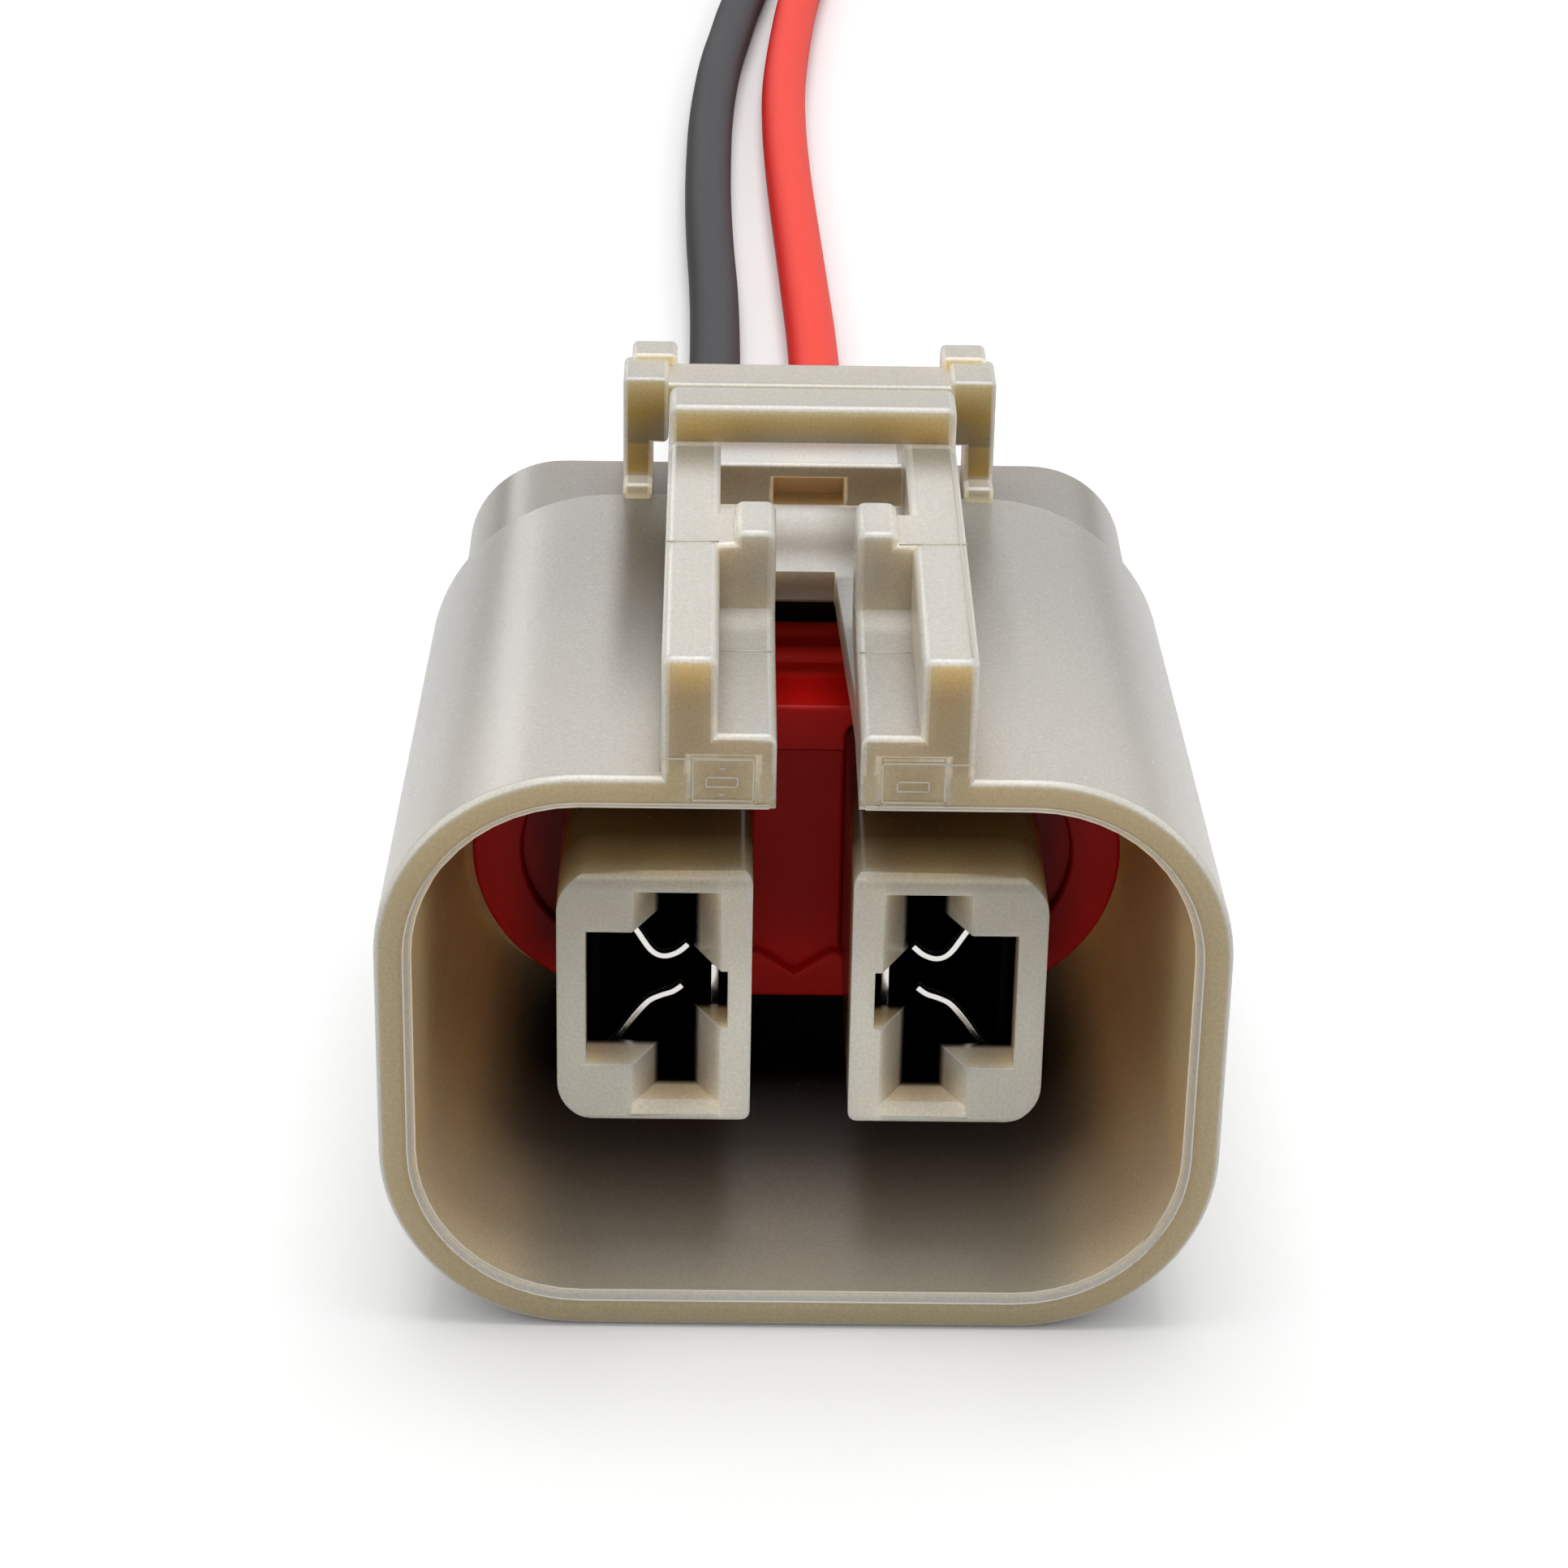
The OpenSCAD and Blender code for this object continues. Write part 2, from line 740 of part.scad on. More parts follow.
// A lead's full path in the mouth's frame: straight out of its crimp and seal, then along its route
function lead_path(side, route) = concat(
    [for (y = [wire_front, wire_seal_y, exit_y, body_len + straight_out]) [side * wire_x, y, core_z]],
    [for (p = route) p + [0, body_len, 0]]
);

// The way a path heads at one of its points
function heading(path, i) =
    let (way = path[min(i + 1, len(path) - 1)] - path[max(i - 1, 0)])
    way / norm(way);

// A round lead swept along a path
module lead(path) {
    sides = 8;
    last = len(path) - 1;
    points = [
        for (i = [0:last])
            let (ahead = heading(path, i))
            let (across = cross(ahead, [0, 0, 1]) / norm(cross(ahead, [0, 0, 1])))
            let (up = cross(across, ahead))
            for (k = [0:sides - 1])
                let (turn = 360 * (k + 0.5) / sides)
                path[i] + wire_d / 2 * (cos(turn) * across + sin(turn) * up)
    ];
    skin = [
        for (i = [0:last - 1], k = [0:sides - 1])
            let (next = (k + 1) % sides)
            [i * sides + k, i * sides + next, (i + 1) * sides + next, (i + 1) * sides + k]
    ];
    ends = [
        [for (k = [sides - 1:-1:0]) k],
        [for (k = [0:sides - 1]) last * sides + k],
    ];
    polyhedron(points, concat(skin, ends));
}

// The bare strands at the far end of a lead, in line with its last stretch
module bare_strands(path) {
    last = len(path) - 1;
    way = path[last] - path[last - 1];
    translate(path[last])
        rotate([0, 0, -atan2(way.x, way.y)])
            strands(bare_len);
}

// The strands in the right terminal's conductor crimp
module crimped_strands() {
    translate([wire_x, conductor_crimp_y - brush_len, core_z])
        strands(wire_front - conductor_crimp_y + brush_len);
}

module housing() {
    color(plastic)
        seat()
            difference() {
                union() {
                    hood();
                    core();
                    both_sides() tower();
                    rear_shell();
                    latch();
                }
                both_sides() {
                    tower_cavity();
                    bore();
                }
                latch_cuts();
            }
}

module interface_seal() {
    front = core_front - seal_front_t;
    ring_low = seal_ring_w - seal_h / 2;
    first_bead = core_front + sleeve_len / 2;
    second_bead = core_front + sleeve_len - 2 * bead_r;
    color(silicone)
        seat() {
            difference() {
                union() {
                    along_y(front, core_front + sleeve_len)
                        translate([0, core_z]) obround(seal_w, seal_h);
                    bead(first_bead);
                    bead(second_bead);
                }
                along_y(core_front, core_front + sleeve_len + over)
                    translate([0, core_z]) obround(core_w, core_h);
                along_y(front - over, front + seal_ring_rise)
                    translate([0, core_z]) {
                        obround(seal_w - 2 * seal_ring_w, seal_h - 2 * seal_ring_w);
                        polygon([
                            [-seal_notch_w / 2, ring_low],
                            [0, ring_low - seal_notch_h],
                            [seal_notch_w / 2, ring_low],
                            [0, ring_low + seal_notch_h],
                        ]);
                    }
                both_sides()
                    along_y(front - over, core_front + over)
                        translate([tower_pitch / 2, 0]) tower_outline();
            }
        }
}

module right_terminal() {
    color(tinned) seat() terminal();
}

module left_terminal() {
    color(tinned) seat() mirror([1, 0, 0]) terminal();
}

module right_wire_seal() {
    color(silicone) seat() wire_seal();
}

module left_wire_seal() {
    color(silicone) seat() mirror([1, 0, 0]) wire_seal();
}

module black_wire() {
    color(black_skin) seat() lead(lead_path(-1, black_route));
}

module red_wire() {
    color(red_skin) seat() lead(lead_path(1, red_route));
}

module black_crimped_strands() {
    color(copper) seat() mirror([1, 0, 0]) crimped_strands();
}

module red_crimped_strands() {
    color(copper) seat() crimped_strands();
}

module black_bare_strands() {
    color(copper) seat() bare_strands(lead_path(-1, black_route));
}

module red_bare_strands() {
    color(copper) seat() bare_strands(lead_path(1, red_route));
}

housing();
interface_seal();
left_terminal();
right_terminal();
left_wire_seal();
right_wire_seal();
black_wire();
red_wire();
black_crimped_strands();
red_crimped_strands();
black_bare_strands();
red_bare_strands();
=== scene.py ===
"""Looks of a sealed two-way alternator wiring plug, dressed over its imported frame.

Lengths are metres in the part's own frame, or millimetres where a docstring, a heading or a name says so.
+Y runs from the mouth of the hood to the leads, and +Z is up.
"""

import logging
import math
from dataclasses import dataclass, field
from enum import Enum
from typing import Callable, Mapping, Sequence, Union

import bmesh
import bpy
from mathutils import Matrix, Vector


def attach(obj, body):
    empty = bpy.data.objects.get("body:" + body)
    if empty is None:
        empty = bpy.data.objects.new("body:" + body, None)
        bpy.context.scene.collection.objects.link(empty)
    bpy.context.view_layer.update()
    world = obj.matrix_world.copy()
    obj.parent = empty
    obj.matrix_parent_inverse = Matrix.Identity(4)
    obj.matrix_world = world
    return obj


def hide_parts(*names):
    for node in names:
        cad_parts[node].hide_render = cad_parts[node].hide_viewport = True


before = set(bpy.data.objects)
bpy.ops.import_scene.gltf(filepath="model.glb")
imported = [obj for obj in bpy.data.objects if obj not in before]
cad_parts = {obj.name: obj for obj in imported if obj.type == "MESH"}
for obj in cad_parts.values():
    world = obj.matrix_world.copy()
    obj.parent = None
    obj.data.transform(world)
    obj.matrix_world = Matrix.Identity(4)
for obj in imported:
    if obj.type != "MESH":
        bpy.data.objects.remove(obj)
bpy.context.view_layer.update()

MM = 0.001
ROOT = "root"

log = logging.getLogger("wiring_plug")

Colour = tuple[float, float, float]
Point = tuple[float, float, float]
Range = tuple[float, float]
Band = tuple[float, float, float]
Box = tuple[float, float, float, float]
Line = Sequence[Point]
Stops = tuple[tuple[float, Colour], ...]
NoiseForm = tuple[float, ...]
Relief = tuple[float, float]
Input = Union["Signal", float, Sequence[float]]


class Slot(Enum):
    """Material slots of the record."""

    PLASTIC = "housing_plastic"
    SILICONE = "seal_silicone"
    TERMINAL = "terminal_metal"
    BLACK = "black_insulation"
    RED = "red_insulation"
    COPPER = "copper"


@dataclass(frozen=True)
class PlugSizes:
    """Sizes of the moulding by which its colours, edges and hairlines are placed, in millimetres."""

    mouth_y: float = -14.9
    hood_end_y: float = 9.7
    shell_end_y: float = 14.9
    roof_z: float = 22.3
    hood_half: float = 15.0
    hood_lean: float = 0.6 / 24.6
    hood_radius: float = 7.2
    hood_wall: float = 1.3
    mouth_chamfer: float = 0.45
    tower_front_y: float = -11.9
    latch_x: float = 0.35
    rail_top: float = 26.85
    pad_top: float = 28.25
    ledge_top: float = 23.95
    bridge_y: float = 8.7
    bridge_top: float = 24.0


PLUG = PlugSizes()


# Shader graphs


@dataclass(frozen=True)
class Signal:
    """One output of a shader graph, with the usual arithmetic on values."""

    graph: "Graph"
    socket: bpy.types.NodeSocket | None

    def _math(self, operation: str, *terms: Input) -> "Signal":
        """Adds a Math node over some terms."""
        return self.graph.add("ShaderNodeMath", {"operation": operation}, dict(enumerate(terms)))

    def __add__(self, other: Input) -> "Signal":
        """Sum."""
        return self._math("ADD", self, other)

    __radd__ = __add__

    def __sub__(self, other: Input) -> "Signal":
        """Difference."""
        return self._math("SUBTRACT", self, other)

    def __rsub__(self, other: Input) -> "Signal":
        """Reflected difference."""
        return self._math("SUBTRACT", other, self)

    def __mul__(self, other: Input) -> "Signal":
        """Product."""
        return self._math("MULTIPLY", self, other)

    __rmul__ = __mul__

    def __truediv__(self, other: Input) -> "Signal":
        """Quotient."""
        return self._math("DIVIDE", self, other)

    def __rtruediv__(self, other: Input) -> "Signal":
        """Reflected quotient."""
        return self._math("DIVIDE", other, self)

    def __pow__(self, other: Input) -> "Signal":
        """Power."""
        return self._math("POWER", self, other)

    def __rpow__(self, other: Input) -> "Signal":
        """Reflected power."""
        return self._math("POWER", other, self)

    def __neg__(self) -> "Signal":
        """Opposite value."""
        return self._math("MULTIPLY", self, -1.0)

    def __abs__(self) -> "Signal":
        """Size without its sign."""
        return self._math("ABSOLUTE", self)

    def highest(self, other: Input) -> "Signal":
        """The larger of two values."""
        return self._math("MAXIMUM", self, other)

    def rise(self, start: float, end: float) -> "Signal":
        """A smooth step of this value.

        Args:
            start: where it leaves 0.
            end: where it reaches 1.

        Returns:
            The step.
        """
        return self.graph.add(
            "ShaderNodeMapRange",
            {"interpolation_type": "SMOOTHSTEP"},
            {"Value": self, "From Min": start, "From Max": end},
            "Result",
        )

    def fall(self, start: float, end: float) -> "Signal":
        """A smooth step of this value from 1 at start to 0 at end."""
        return 1.0 - self.rise(start, end)

    def between(self, low: float, high: float, edge: float) -> "Signal":
        """1 between two values, with a soft edge outside them."""
        return self.rise(low - edge, low) * self.fall(high, high + edge)

    def along(self, low: float, high: float) -> "Signal":
        """How far this value has come on the way between two values, 0 to 1."""
        return (self - low) / (high - low)


class Graph:
    """A node tree that grows by expressions."""

    def __init__(self, tree: bpy.types.NodeTree) -> None:
        """Empties a node tree and takes it over.

        Args:
            tree: the tree of a material or a world.
        """
        tree.nodes.clear()
        self.tree = tree

    def add(
        self,
        kind: str,
        settings: Mapping[str, object] | None = None,
        inputs: Mapping[str | int, Input] | None = None,
        output: str | int = 0,
    ) -> Signal:
        """Adds one node.

        Args:
            kind: the node's type.
            settings: properties that are set first; "stops" sets a ramp's stops.
            inputs: values or signals by socket name or number.
            output: the socket that the signal stands for.

        Returns:
            The chosen output, with no socket for a node that only takes inputs.
        """
        node = self.tree.nodes.new(kind)
        for name, value in (settings or {}).items():
            if name == "stops":
                self._set_stops(node, value)
            else:
                setattr(node, name, value)
        for key, value in (inputs or {}).items():
            socket = node.inputs[key]
            if isinstance(value, Signal):
                self.tree.links.new(value.socket, socket)
            else:
                socket.default_value = value
        return Signal(self, node.outputs[output] if node.outputs else None)

    @staticmethod
    def _set_stops(node: bpy.types.Node, stops: Stops) -> None:
        """Gives a colour ramp its stops, in order.

        Args:
            node: the ramp.
            stops: positions of 0 to 1 with their colours.
        """
        elements = node.color_ramp.elements
        while len(elements) < len(stops):
            elements.new(1.0)
        for element, (position, colour) in zip(elements, stops):
            element.position = position
            element.color = (*colour, 1.0)

    def blend(self, factor: Input, low: Input, high: Input, mode: str = "MIX") -> Signal:
        """Mixes two colours.

        Args:
            factor: 0 gives low, 1 gives high.
            low: first colour.
            high: second colour.
            mode: Blender's blend type.

        Returns:
            The mixed colour.
        """
        colours = [value if isinstance(value, Signal) else (*value, 1.0) for value in (low, high)]
        return self.add(
            "ShaderNodeMix",
            {"data_type": "RGBA", "blend_type": mode},
            {0: factor, 6: colours[0], 7: colours[1]},
            2,
        )

    def place(self) -> Signal:
        """The surface point in the part's frame, in millimetres."""
        here = self.add("ShaderNodeTexCoord", output="Object")
        return self.add("ShaderNodeVectorMath", {"operation": "SCALE"}, {0: here, "Scale": 1 / MM})

    def stretch(self, vector: Signal, factors: Point) -> Signal:
        """A vector with each component times its own factor."""
        return self.add("ShaderNodeVectorMath", {"operation": "MULTIPLY"}, {0: vector, 1: factors})

    def axes(self, vector: Signal) -> tuple[Signal, Signal, Signal]:
        """The three components of a vector."""
        x, y, z = (self.add("ShaderNodeSeparateXYZ", None, {0: vector}, name) for name in "XYZ")
        return x, y, z

    def facing(self) -> Signal:
        """The surface's normal."""
        return self.add("ShaderNodeNewGeometry", output="Normal")

    def ramp(self, value: Signal, stops: Stops) -> Signal:
        """A colour that runs over a value of 0 to 1."""
        return self.add("ShaderNodeValToRGB", {"stops": stops}, {"Fac": value}, "Color")

    def noise(self, vector: Signal, scale: float, detail: float = 2.0, rough: float = 0.5) -> Signal:
        """A noise value.

        Args:
            vector: where to read it.
            scale: features per millimetre.
            detail: octaves.
            rough: weight of the finer octaves.

        Returns:
            The noise, about 0.5 in the middle.
        """
        return self.add(
            "ShaderNodeTexNoise",
            None,
            {"Vector": vector, "Scale": scale, "Detail": detail, "Roughness": rough},
            "Fac",
        )

    def open_share(self, reach_mm: float, inside: bool = False, own: bool = True) -> Signal:
        """How open the room at the surface is, 1 where nothing is within a reach.

        Args:
            reach_mm: how far it looks.
            inside: looks into the piece, which finds its edges and thin walls, and not out of it.
            own: counts the piece's own surface only.

        Returns:
            The open share.
        """
        settings = {"samples": 1, "inside": inside, "only_local": own}
        return self.add("ShaderNodeAmbientOcclusion", settings, {"Distance": reach_mm * MM}, "AO")

    def bump(self, height: Signal, depth_mm: float, strength: float) -> Signal:
        """A normal for a surface with a fine relief.

        Args:
            height: the relief, 0 to 1.
            depth_mm: its depth.
            strength: how much of it shows.

        Returns:
            The normal.
        """
        return self.add(
            "ShaderNodeBump",
            None,
            {"Strength": strength, "Distance": depth_mm * MM, "Height": height},
            "Normal",
        )

    def surface(self, inputs: Mapping[str | int, Input]) -> None:
        """Ends a material in one Principled shader."""
        shader = self.add("ShaderNodeBsdfPrincipled", {"subsurface_method": "BURLEY"}, inputs)
        self.add("ShaderNodeOutputMaterial", None, {"Surface": shader})


@dataclass(frozen=True)
class Spot:
    """A surface point in millimetres, and the way that the surface faces there."""

    x: Signal
    y: Signal
    z: Signal
    side: Signal
    ahead: Signal
    up: Signal

    @classmethod
    def at(cls, g: Graph, place: Signal) -> "Spot":
        """The spot at a surface point."""
        return cls(*g.axes(place), *g.axes(g.facing()))


def new_material(name: str) -> tuple[bpy.types.Material, Graph]:
    """Makes an empty material.

    Args:
        name: the material's name.

    Returns:
        The material and its node graph.
    """
    material = bpy.data.materials.new(name)
    material.use_nodes = True
    return material, Graph(material.node_tree)


# Finishes, with the places of their zones in millimetres


@dataclass(frozen=True)
class MouldedPlastic:
    """Pale translucent moulding, its colour partly painted light and shade: ivory outside, amber with a
    painted glow in thin front faces, painted shade from brown to black in its hollows, and painted highlights
    on its edges.

    The zones are told apart by the surface point, in millimetres, and by the way that the surface faces. A
    Range holds the start and the end of a smooth step, and a Band its two ends and their soft edge. A
    NoiseForm holds a noise's scale, detail and roughness, and a Relief a bump's depth and strength.
    """

    # Colours of the outside, with painted shade, painted light and painted highlights
    roof_colour: Colour = (0.576, 0.558, 0.517)
    # painted shade: the roof darker towards the back, and the rear shell darker still
    roof_back_shade: Colour = (0.44, 0.426, 0.395)
    rear_shade_colour: Colour = (0.335, 0.317, 0.285)
    # painted shadow on the roof beside the latch rails
    shade_colour: Colour = (0.17, 0.15, 0.12)
    latch_colour: Colour = (0.69, 0.66, 0.6)
    ledge_colour: Colour = (0.54, 0.515, 0.465)
    # painted shadow on the rails' tops in front of the pad
    pad_shade: Colour = (0.33, 0.31, 0.25)
    back_colour: Colour = (0.57, 0.54, 0.48)
    # painted light on the floor in front of the bridge and on the bridge's top
    lit_colour: Colour = (0.95, 0.93, 0.9)
    # painted shade on the right half of that floor
    pocket_shade: Colour = (0.5, 0.48, 0.43)
    # painted shade in the window under the bridge
    window_shade_brown: Colour = (0.5, 0.38, 0.22)
    # painted shade in grooves and inner corners
    groove_shade_colour: Colour = (0.42, 0.36, 0.28)
    # painted highlight on rounded edges
    edge_highlight_colour: Colour = (0.93, 0.9, 0.82)

    # Colours of the faces that look to the mouth's side: the plastic's amber with painted light and shade,
    # brightest near the top
    rail_colours: Stops = (
        (0.0, (0.5, 0.393, 0.21)),
        (0.2, (0.41, 0.31, 0.17)),
        (0.5, (0.42, 0.315, 0.165)),
        (0.68, (0.43, 0.31, 0.14)),
        (0.82, (0.56, 0.4, 0.15)),
        (0.92, (0.74, 0.5, 0.17)),
        (1.0, (0.9, 0.7, 0.36)),
    )
    post_colour: Colour = (0.52, 0.48, 0.38)
    pad_colours: Stops = (
        (0.0, (0.3, 0.23, 0.12)),
        (0.3, (0.48, 0.37, 0.15)),
        (0.65, (0.6, 0.48, 0.22)),
        (1.0, (0.7, 0.61, 0.4)),
    )
    ear_colours: Stops = (
        (0.13, (0.36, 0.34, 0.3)),
        (0.17, (0.34, 0.22, 0.05)),
        (0.41, (0.42, 0.29, 0.08)),
        (0.43, (0.24, 0.18, 0.09)),
        (0.7, (0.42, 0.285, 0.055)),
        (0.95, (0.6, 0.5, 0.27)),
    )
    # painted shade on the bridge's front and on the ears' inner sides
    bridge_shade_brown: Colour = (0.27, 0.22, 0.15)
    recess_brown: Colour = (0.66, 0.5, 0.27)
    # painted shade on the slot's end wall
    slot_end_shade: Colour = (0.16, 0.09, 0.035)
    # painted glow: front faces paler near their edges
    glow_colour: Colour = (0.6, 0.56, 0.46)

    # Colours inside the hood: amber walls with a painted glow, and painted shade darkening the floor, the
    # core and the towers to the back
    wall_colours: Stops = (
        (0.0, (0.9, 0.74, 0.44)),
        (0.3, (0.95, 0.83, 0.51)),
        (0.65, (0.84, 0.7, 0.45)),
        (1.0, (0.78, 0.64, 0.41)),
    )
    floor_colours: Stops = (
        (0.0, (0.5, 0.465, 0.39)),
        (0.3, (0.58, 0.545, 0.47)),
        (0.65, (0.2, 0.19, 0.17)),
        (1.0, (0.005, 0.005, 0.005)),
    )
    corner_glow_colour: Colour = (0.86, 0.76, 0.55)
    core_shade_colour: Colour = (0.03, 0.02, 0.012)
    # painted shade: the towers pale at the front and black to the back
    tower_colours: Stops = (
        (0.0, (0.72, 0.69, 0.6)),
        (0.09, (0.46, 0.38, 0.26)),
        (0.24, (0.12, 0.075, 0.035)),
        (0.5, (0.025, 0.014, 0.006)),
    )
    column_light_colour: Colour = (0.92, 0.88, 0.78)
    tower_shade: Colour = (0.75, 0.735, 0.71)
    cavity_shade_colour: Colour = (0.002, 0.002, 0.002)

    # Places of the roof and the latch
    latch_foot_z: Range = (PLUG.roof_z + 0.1, PLUG.roof_z + 0.3)
    roof_y: Range = (PLUG.mouth_y + 1.9, PLUG.hood_end_y - 3.7)
    rear_y: Range = (PLUG.hood_end_y - 0.15, PLUG.hood_end_y + 0.05)
    left_shade_x: Band = (-6.3, -4.5, 1.2)
    right_shade_x: Band = (5.5, 7.0, 1.2)
    shade_y: Range = (-12.0, 0.5)
    ledge_x: Range = (3.4, 3.45)
    ledge_z: Range = (PLUG.ledge_top + 0.15, PLUG.ledge_top + 0.25)
    pad_shade_y: Range = (0.0, 3.3)
    pad_shade_z: Range = (PLUG.rail_top + 0.1, PLUG.rail_top + 0.2)
    arch_y: Range = (3.5, 3.7)
    shelter_y: Band = (2.2, 12.0, 0.5)
    shelter_z: Range = (PLUG.bridge_top + 0.05, PLUG.bridge_top + 0.1)
    pocket_x: Range = (0.3, 2.6)
    pocket_y: Range = (PLUG.bridge_y - 0.3, PLUG.bridge_y)
    window_y: Range = (PLUG.bridge_y - 0.1, PLUG.bridge_y + 0.1)
    window_z: Range = (PLUG.bridge_top - 0.4, PLUG.bridge_top - 0.3)
    post_y: Range = (PLUG.mouth_y + 2.0, PLUG.mouth_y + 3.0)
    pad_y: Range = (3.0, 3.5)
    pad_z: Range = (PLUG.rail_top, PLUG.pad_top + 0.05)
    ear_y: Range = (9.0, 9.1)
    ear_z: Range = (PLUG.roof_z, 26.95)
    ear_shade_x: Range = (5.5, 7.0)
    ear_shade_z: Band = (24.2, 25.0, 1.2)
    block_y: Range = (12.2, 12.3)
    bridge_x: Range = (4.3, 4.5)
    bridge_y: Range = (PLUG.bridge_y - 0.2, PLUG.bridge_y - 0.1)
    bridge_z: Range = (PLUG.bridge_top - 0.1, PLUG.bridge_top)
    recess_y: Range = (PLUG.bridge_y + 0.2, PLUG.bridge_y + 0.3)
    slot_end_y: Band = (0.0, 3.0, 1.0)
    groove_y: Band = (PLUG.mouth_y + 0.4, PLUG.bridge_y - 0.3, 0.2)

    # Places of the mouth, the inside of the hood and the towers
    lip_under: Band = (0.8, 1.02, 0.03)
    lip_y: Range = (PLUG.mouth_y + 0.5, PLUG.mouth_y + 0.6)
    inside_under: Range = (PLUG.hood_wall - 0.15, PLUG.hood_wall - 0.05)
    dull_under: Band = (0.2, 1.0, 0.1)
    half_dull_under: Band = (1.0, 1.35, 0.1)
    bulkhead_y: Range = (8.6, 8.8)
    hood_y: Range = (PLUG.mouth_y, PLUG.mouth_y + 16.0)
    corner_reach: Range = (0.25, 0.7)
    core_reach: Range = (0.6, 0.8)
    core_x: Range = (8.5, 9.5)
    core_y: Range = (2.0, 3.0)
    tower_x: Band = (1.7, 8.8, 0.04)
    tower_z: Band = (6.8, 17.1, 0.04)
    tower_y: Range = (PLUG.tower_front_y, PLUG.tower_front_y + 13.0)
    tower_shade_z: Range = (10.5, 16.0)
    nose_y: Range = (PLUG.tower_front_y, PLUG.tower_front_y + 0.6)
    nose_edge_y: Range = (PLUG.tower_front_y + 0.9, PLUG.tower_front_y + 1.4)
    column_x: Range = (2.8, 3.2)
    column_z: Range = (16.4, 17.4)
    sill_z: Range = (9.5, 10.0)
    cavity_x: Band = (2.2, 8.2, 0.1)
    cavity_z: Band = (7.18, 16.33, 0.01)
    chamber_y: Range = (-10.55, -10.05)

    # Ways that a zone's surface faces
    front_turn: Range = (0.72, 0.97)
    floor_turn: Range = (0.5, 0.97)
    corner_turn: Band = (0.3, 0.85, 0.2)
    core_turn: Range = (0.5, 0.9)
    sill_turn: Range = (0.3, 0.6)
    ridge_turn: Band = (0.3, 0.75, 0.15)
    ridge_up: Range = (0.0, 0.4)
    latch_edge_turn: Band = (0.3, 0.85, 0.15)

    # Strength of the painted shades and lights
    right_shade: float = 0.3
    ear_shade: float = 0.6
    groove_reach: float = 0.7
    groove_range: Range = (0.15, 0.75)
    groove_share: float = 0.5
    glow_reach: float = 0.8
    glow_range: Range = (0.1, 0.6)
    glow_share: float = 0.7
    ear_glow_share: float = 0.25
    edge_light: float = 0.7
    ridge_share: float = 0.35
    latch_edge_share: float = 0.45
    half_dull_share: float = 0.5
    nose_edge_reach: float = 0.25
    nose_edge_range: Range = (0.2, 0.5)
    nose_edge_share: float = 0.5

    # Grain, tint and scattering
    grain: NoiseForm = (5.5, 3.0, 0.62)
    grain_bump: Relief = (0.007, 0.35)
    cloud_scale: float = 0.22
    cloud_tints: tuple[Colour, Colour] = ((0.917, 0.912, 0.902), (0.955, 0.955, 0.955))
    speckle: NoiseForm = (9.0, 2.0)
    speckle_range: Range = (0.3, 0.7)
    speckle_tints: tuple[Colour, Colour] = ((0.93, 0.925, 0.91), (1.05, 1.05, 1.05))
    roughness: float = 0.19
    rough_grain: float = 0.12
    scatter_radius: Colour = (1.0, 0.7, 0.38)
    scatter_scale: float = 2.3 * MM

    def material(self) -> bpy.types.Material:
        """Builds the finish.

        Returns:
            The material.
        """
        material, g = new_material("moulded_plastic")
        place = g.place()
        spot = Spot.at(g, place)
        grain = g.noise(place, *self.grain)
        dark = self._hollow(spot)
        cloud = g.blend(g.noise(place, self.cloud_scale), *self.cloud_tints)
        speckle = g.blend(g.noise(place, *self.speckle).rise(*self.speckle_range), *self.speckle_tints)
        tint = g.blend(1.0, cloud, speckle, "MULTIPLY")
        tinted = g.blend(1.0, self._colour(g, spot), tint, "MULTIPLY")
        g.surface(
            {
                # painted shade: the chambers black, and metallic so that they take no diffuse light
                "Base Color": g.blend(dark, tinted, self.cavity_shade_colour),
                "Roughness": self.roughness + self.rough_grain * grain,
                "Metallic": dark,
                "Normal": g.bump(grain, *self.grain_bump),
                "IOR": 1.5,
                "Subsurface Weight": 1.0,
                "Subsurface Radius": self.scatter_radius,
                "Subsurface Scale": self.scatter_scale,
            }
        )
        return material

    def _colour(self, g: Graph, spot: Spot) -> Signal:
        """The moulding's colour: the outside, and over it the inside of the hood, the towers and painted
        highlights on edges.

        Args:
            g: the material's graph.
            spot: the surface point.

        Returns:
            The colour.
        """
        under = self._under_skin(spot)
        high = spot.z.rise(*self.latch_foot_z)
        hooded = under.rise(*self.inside_under) * spot.y.fall(*self.bulkhead_y)
        colour = g.blend(hooded, self._outside(g, spot, under, high), self._inside(g, spot))
        towered = abs(spot.x).between(*self.tower_x) * spot.z.between(*self.tower_z)
        colour = g.blend(towered * spot.y.fall(*self.core_y), colour, self._tower(g, spot))
        # painted highlight on the thin edges of the tower noses
        thin = (1.0 - g.open_share(self.nose_edge_reach, inside=True)).rise(*self.nose_edge_range)
        nose_edge = thin * spot.y.fall(*self.nose_edge_y) * towered
        lit = self._edge_highlights(spot, under, high).highest(self.nose_edge_share * nose_edge)
        return g.blend(self.edge_light * lit, colour, self.edge_highlight_colour)

    def _outside(self, g: Graph, spot: Spot, under: Signal, high: Signal) -> Signal:
        """The colour of the outer faces, with painted shade in grooves.

        Args:
            g: the material's graph.
            spot: the surface point.
            under: how far it lies inside the hood's outer skin.
            high: 1 above the roof.

        Returns:
            The colour.
        """
        lip = under.between(*self.lip_under) * spot.y.fall(*self.lip_y)
        front = (-spot.ahead).rise(*self.front_turn).highest(lip)
        colour = g.blend(front, self._plain(g, spot, high), self._front(g, spot, high))
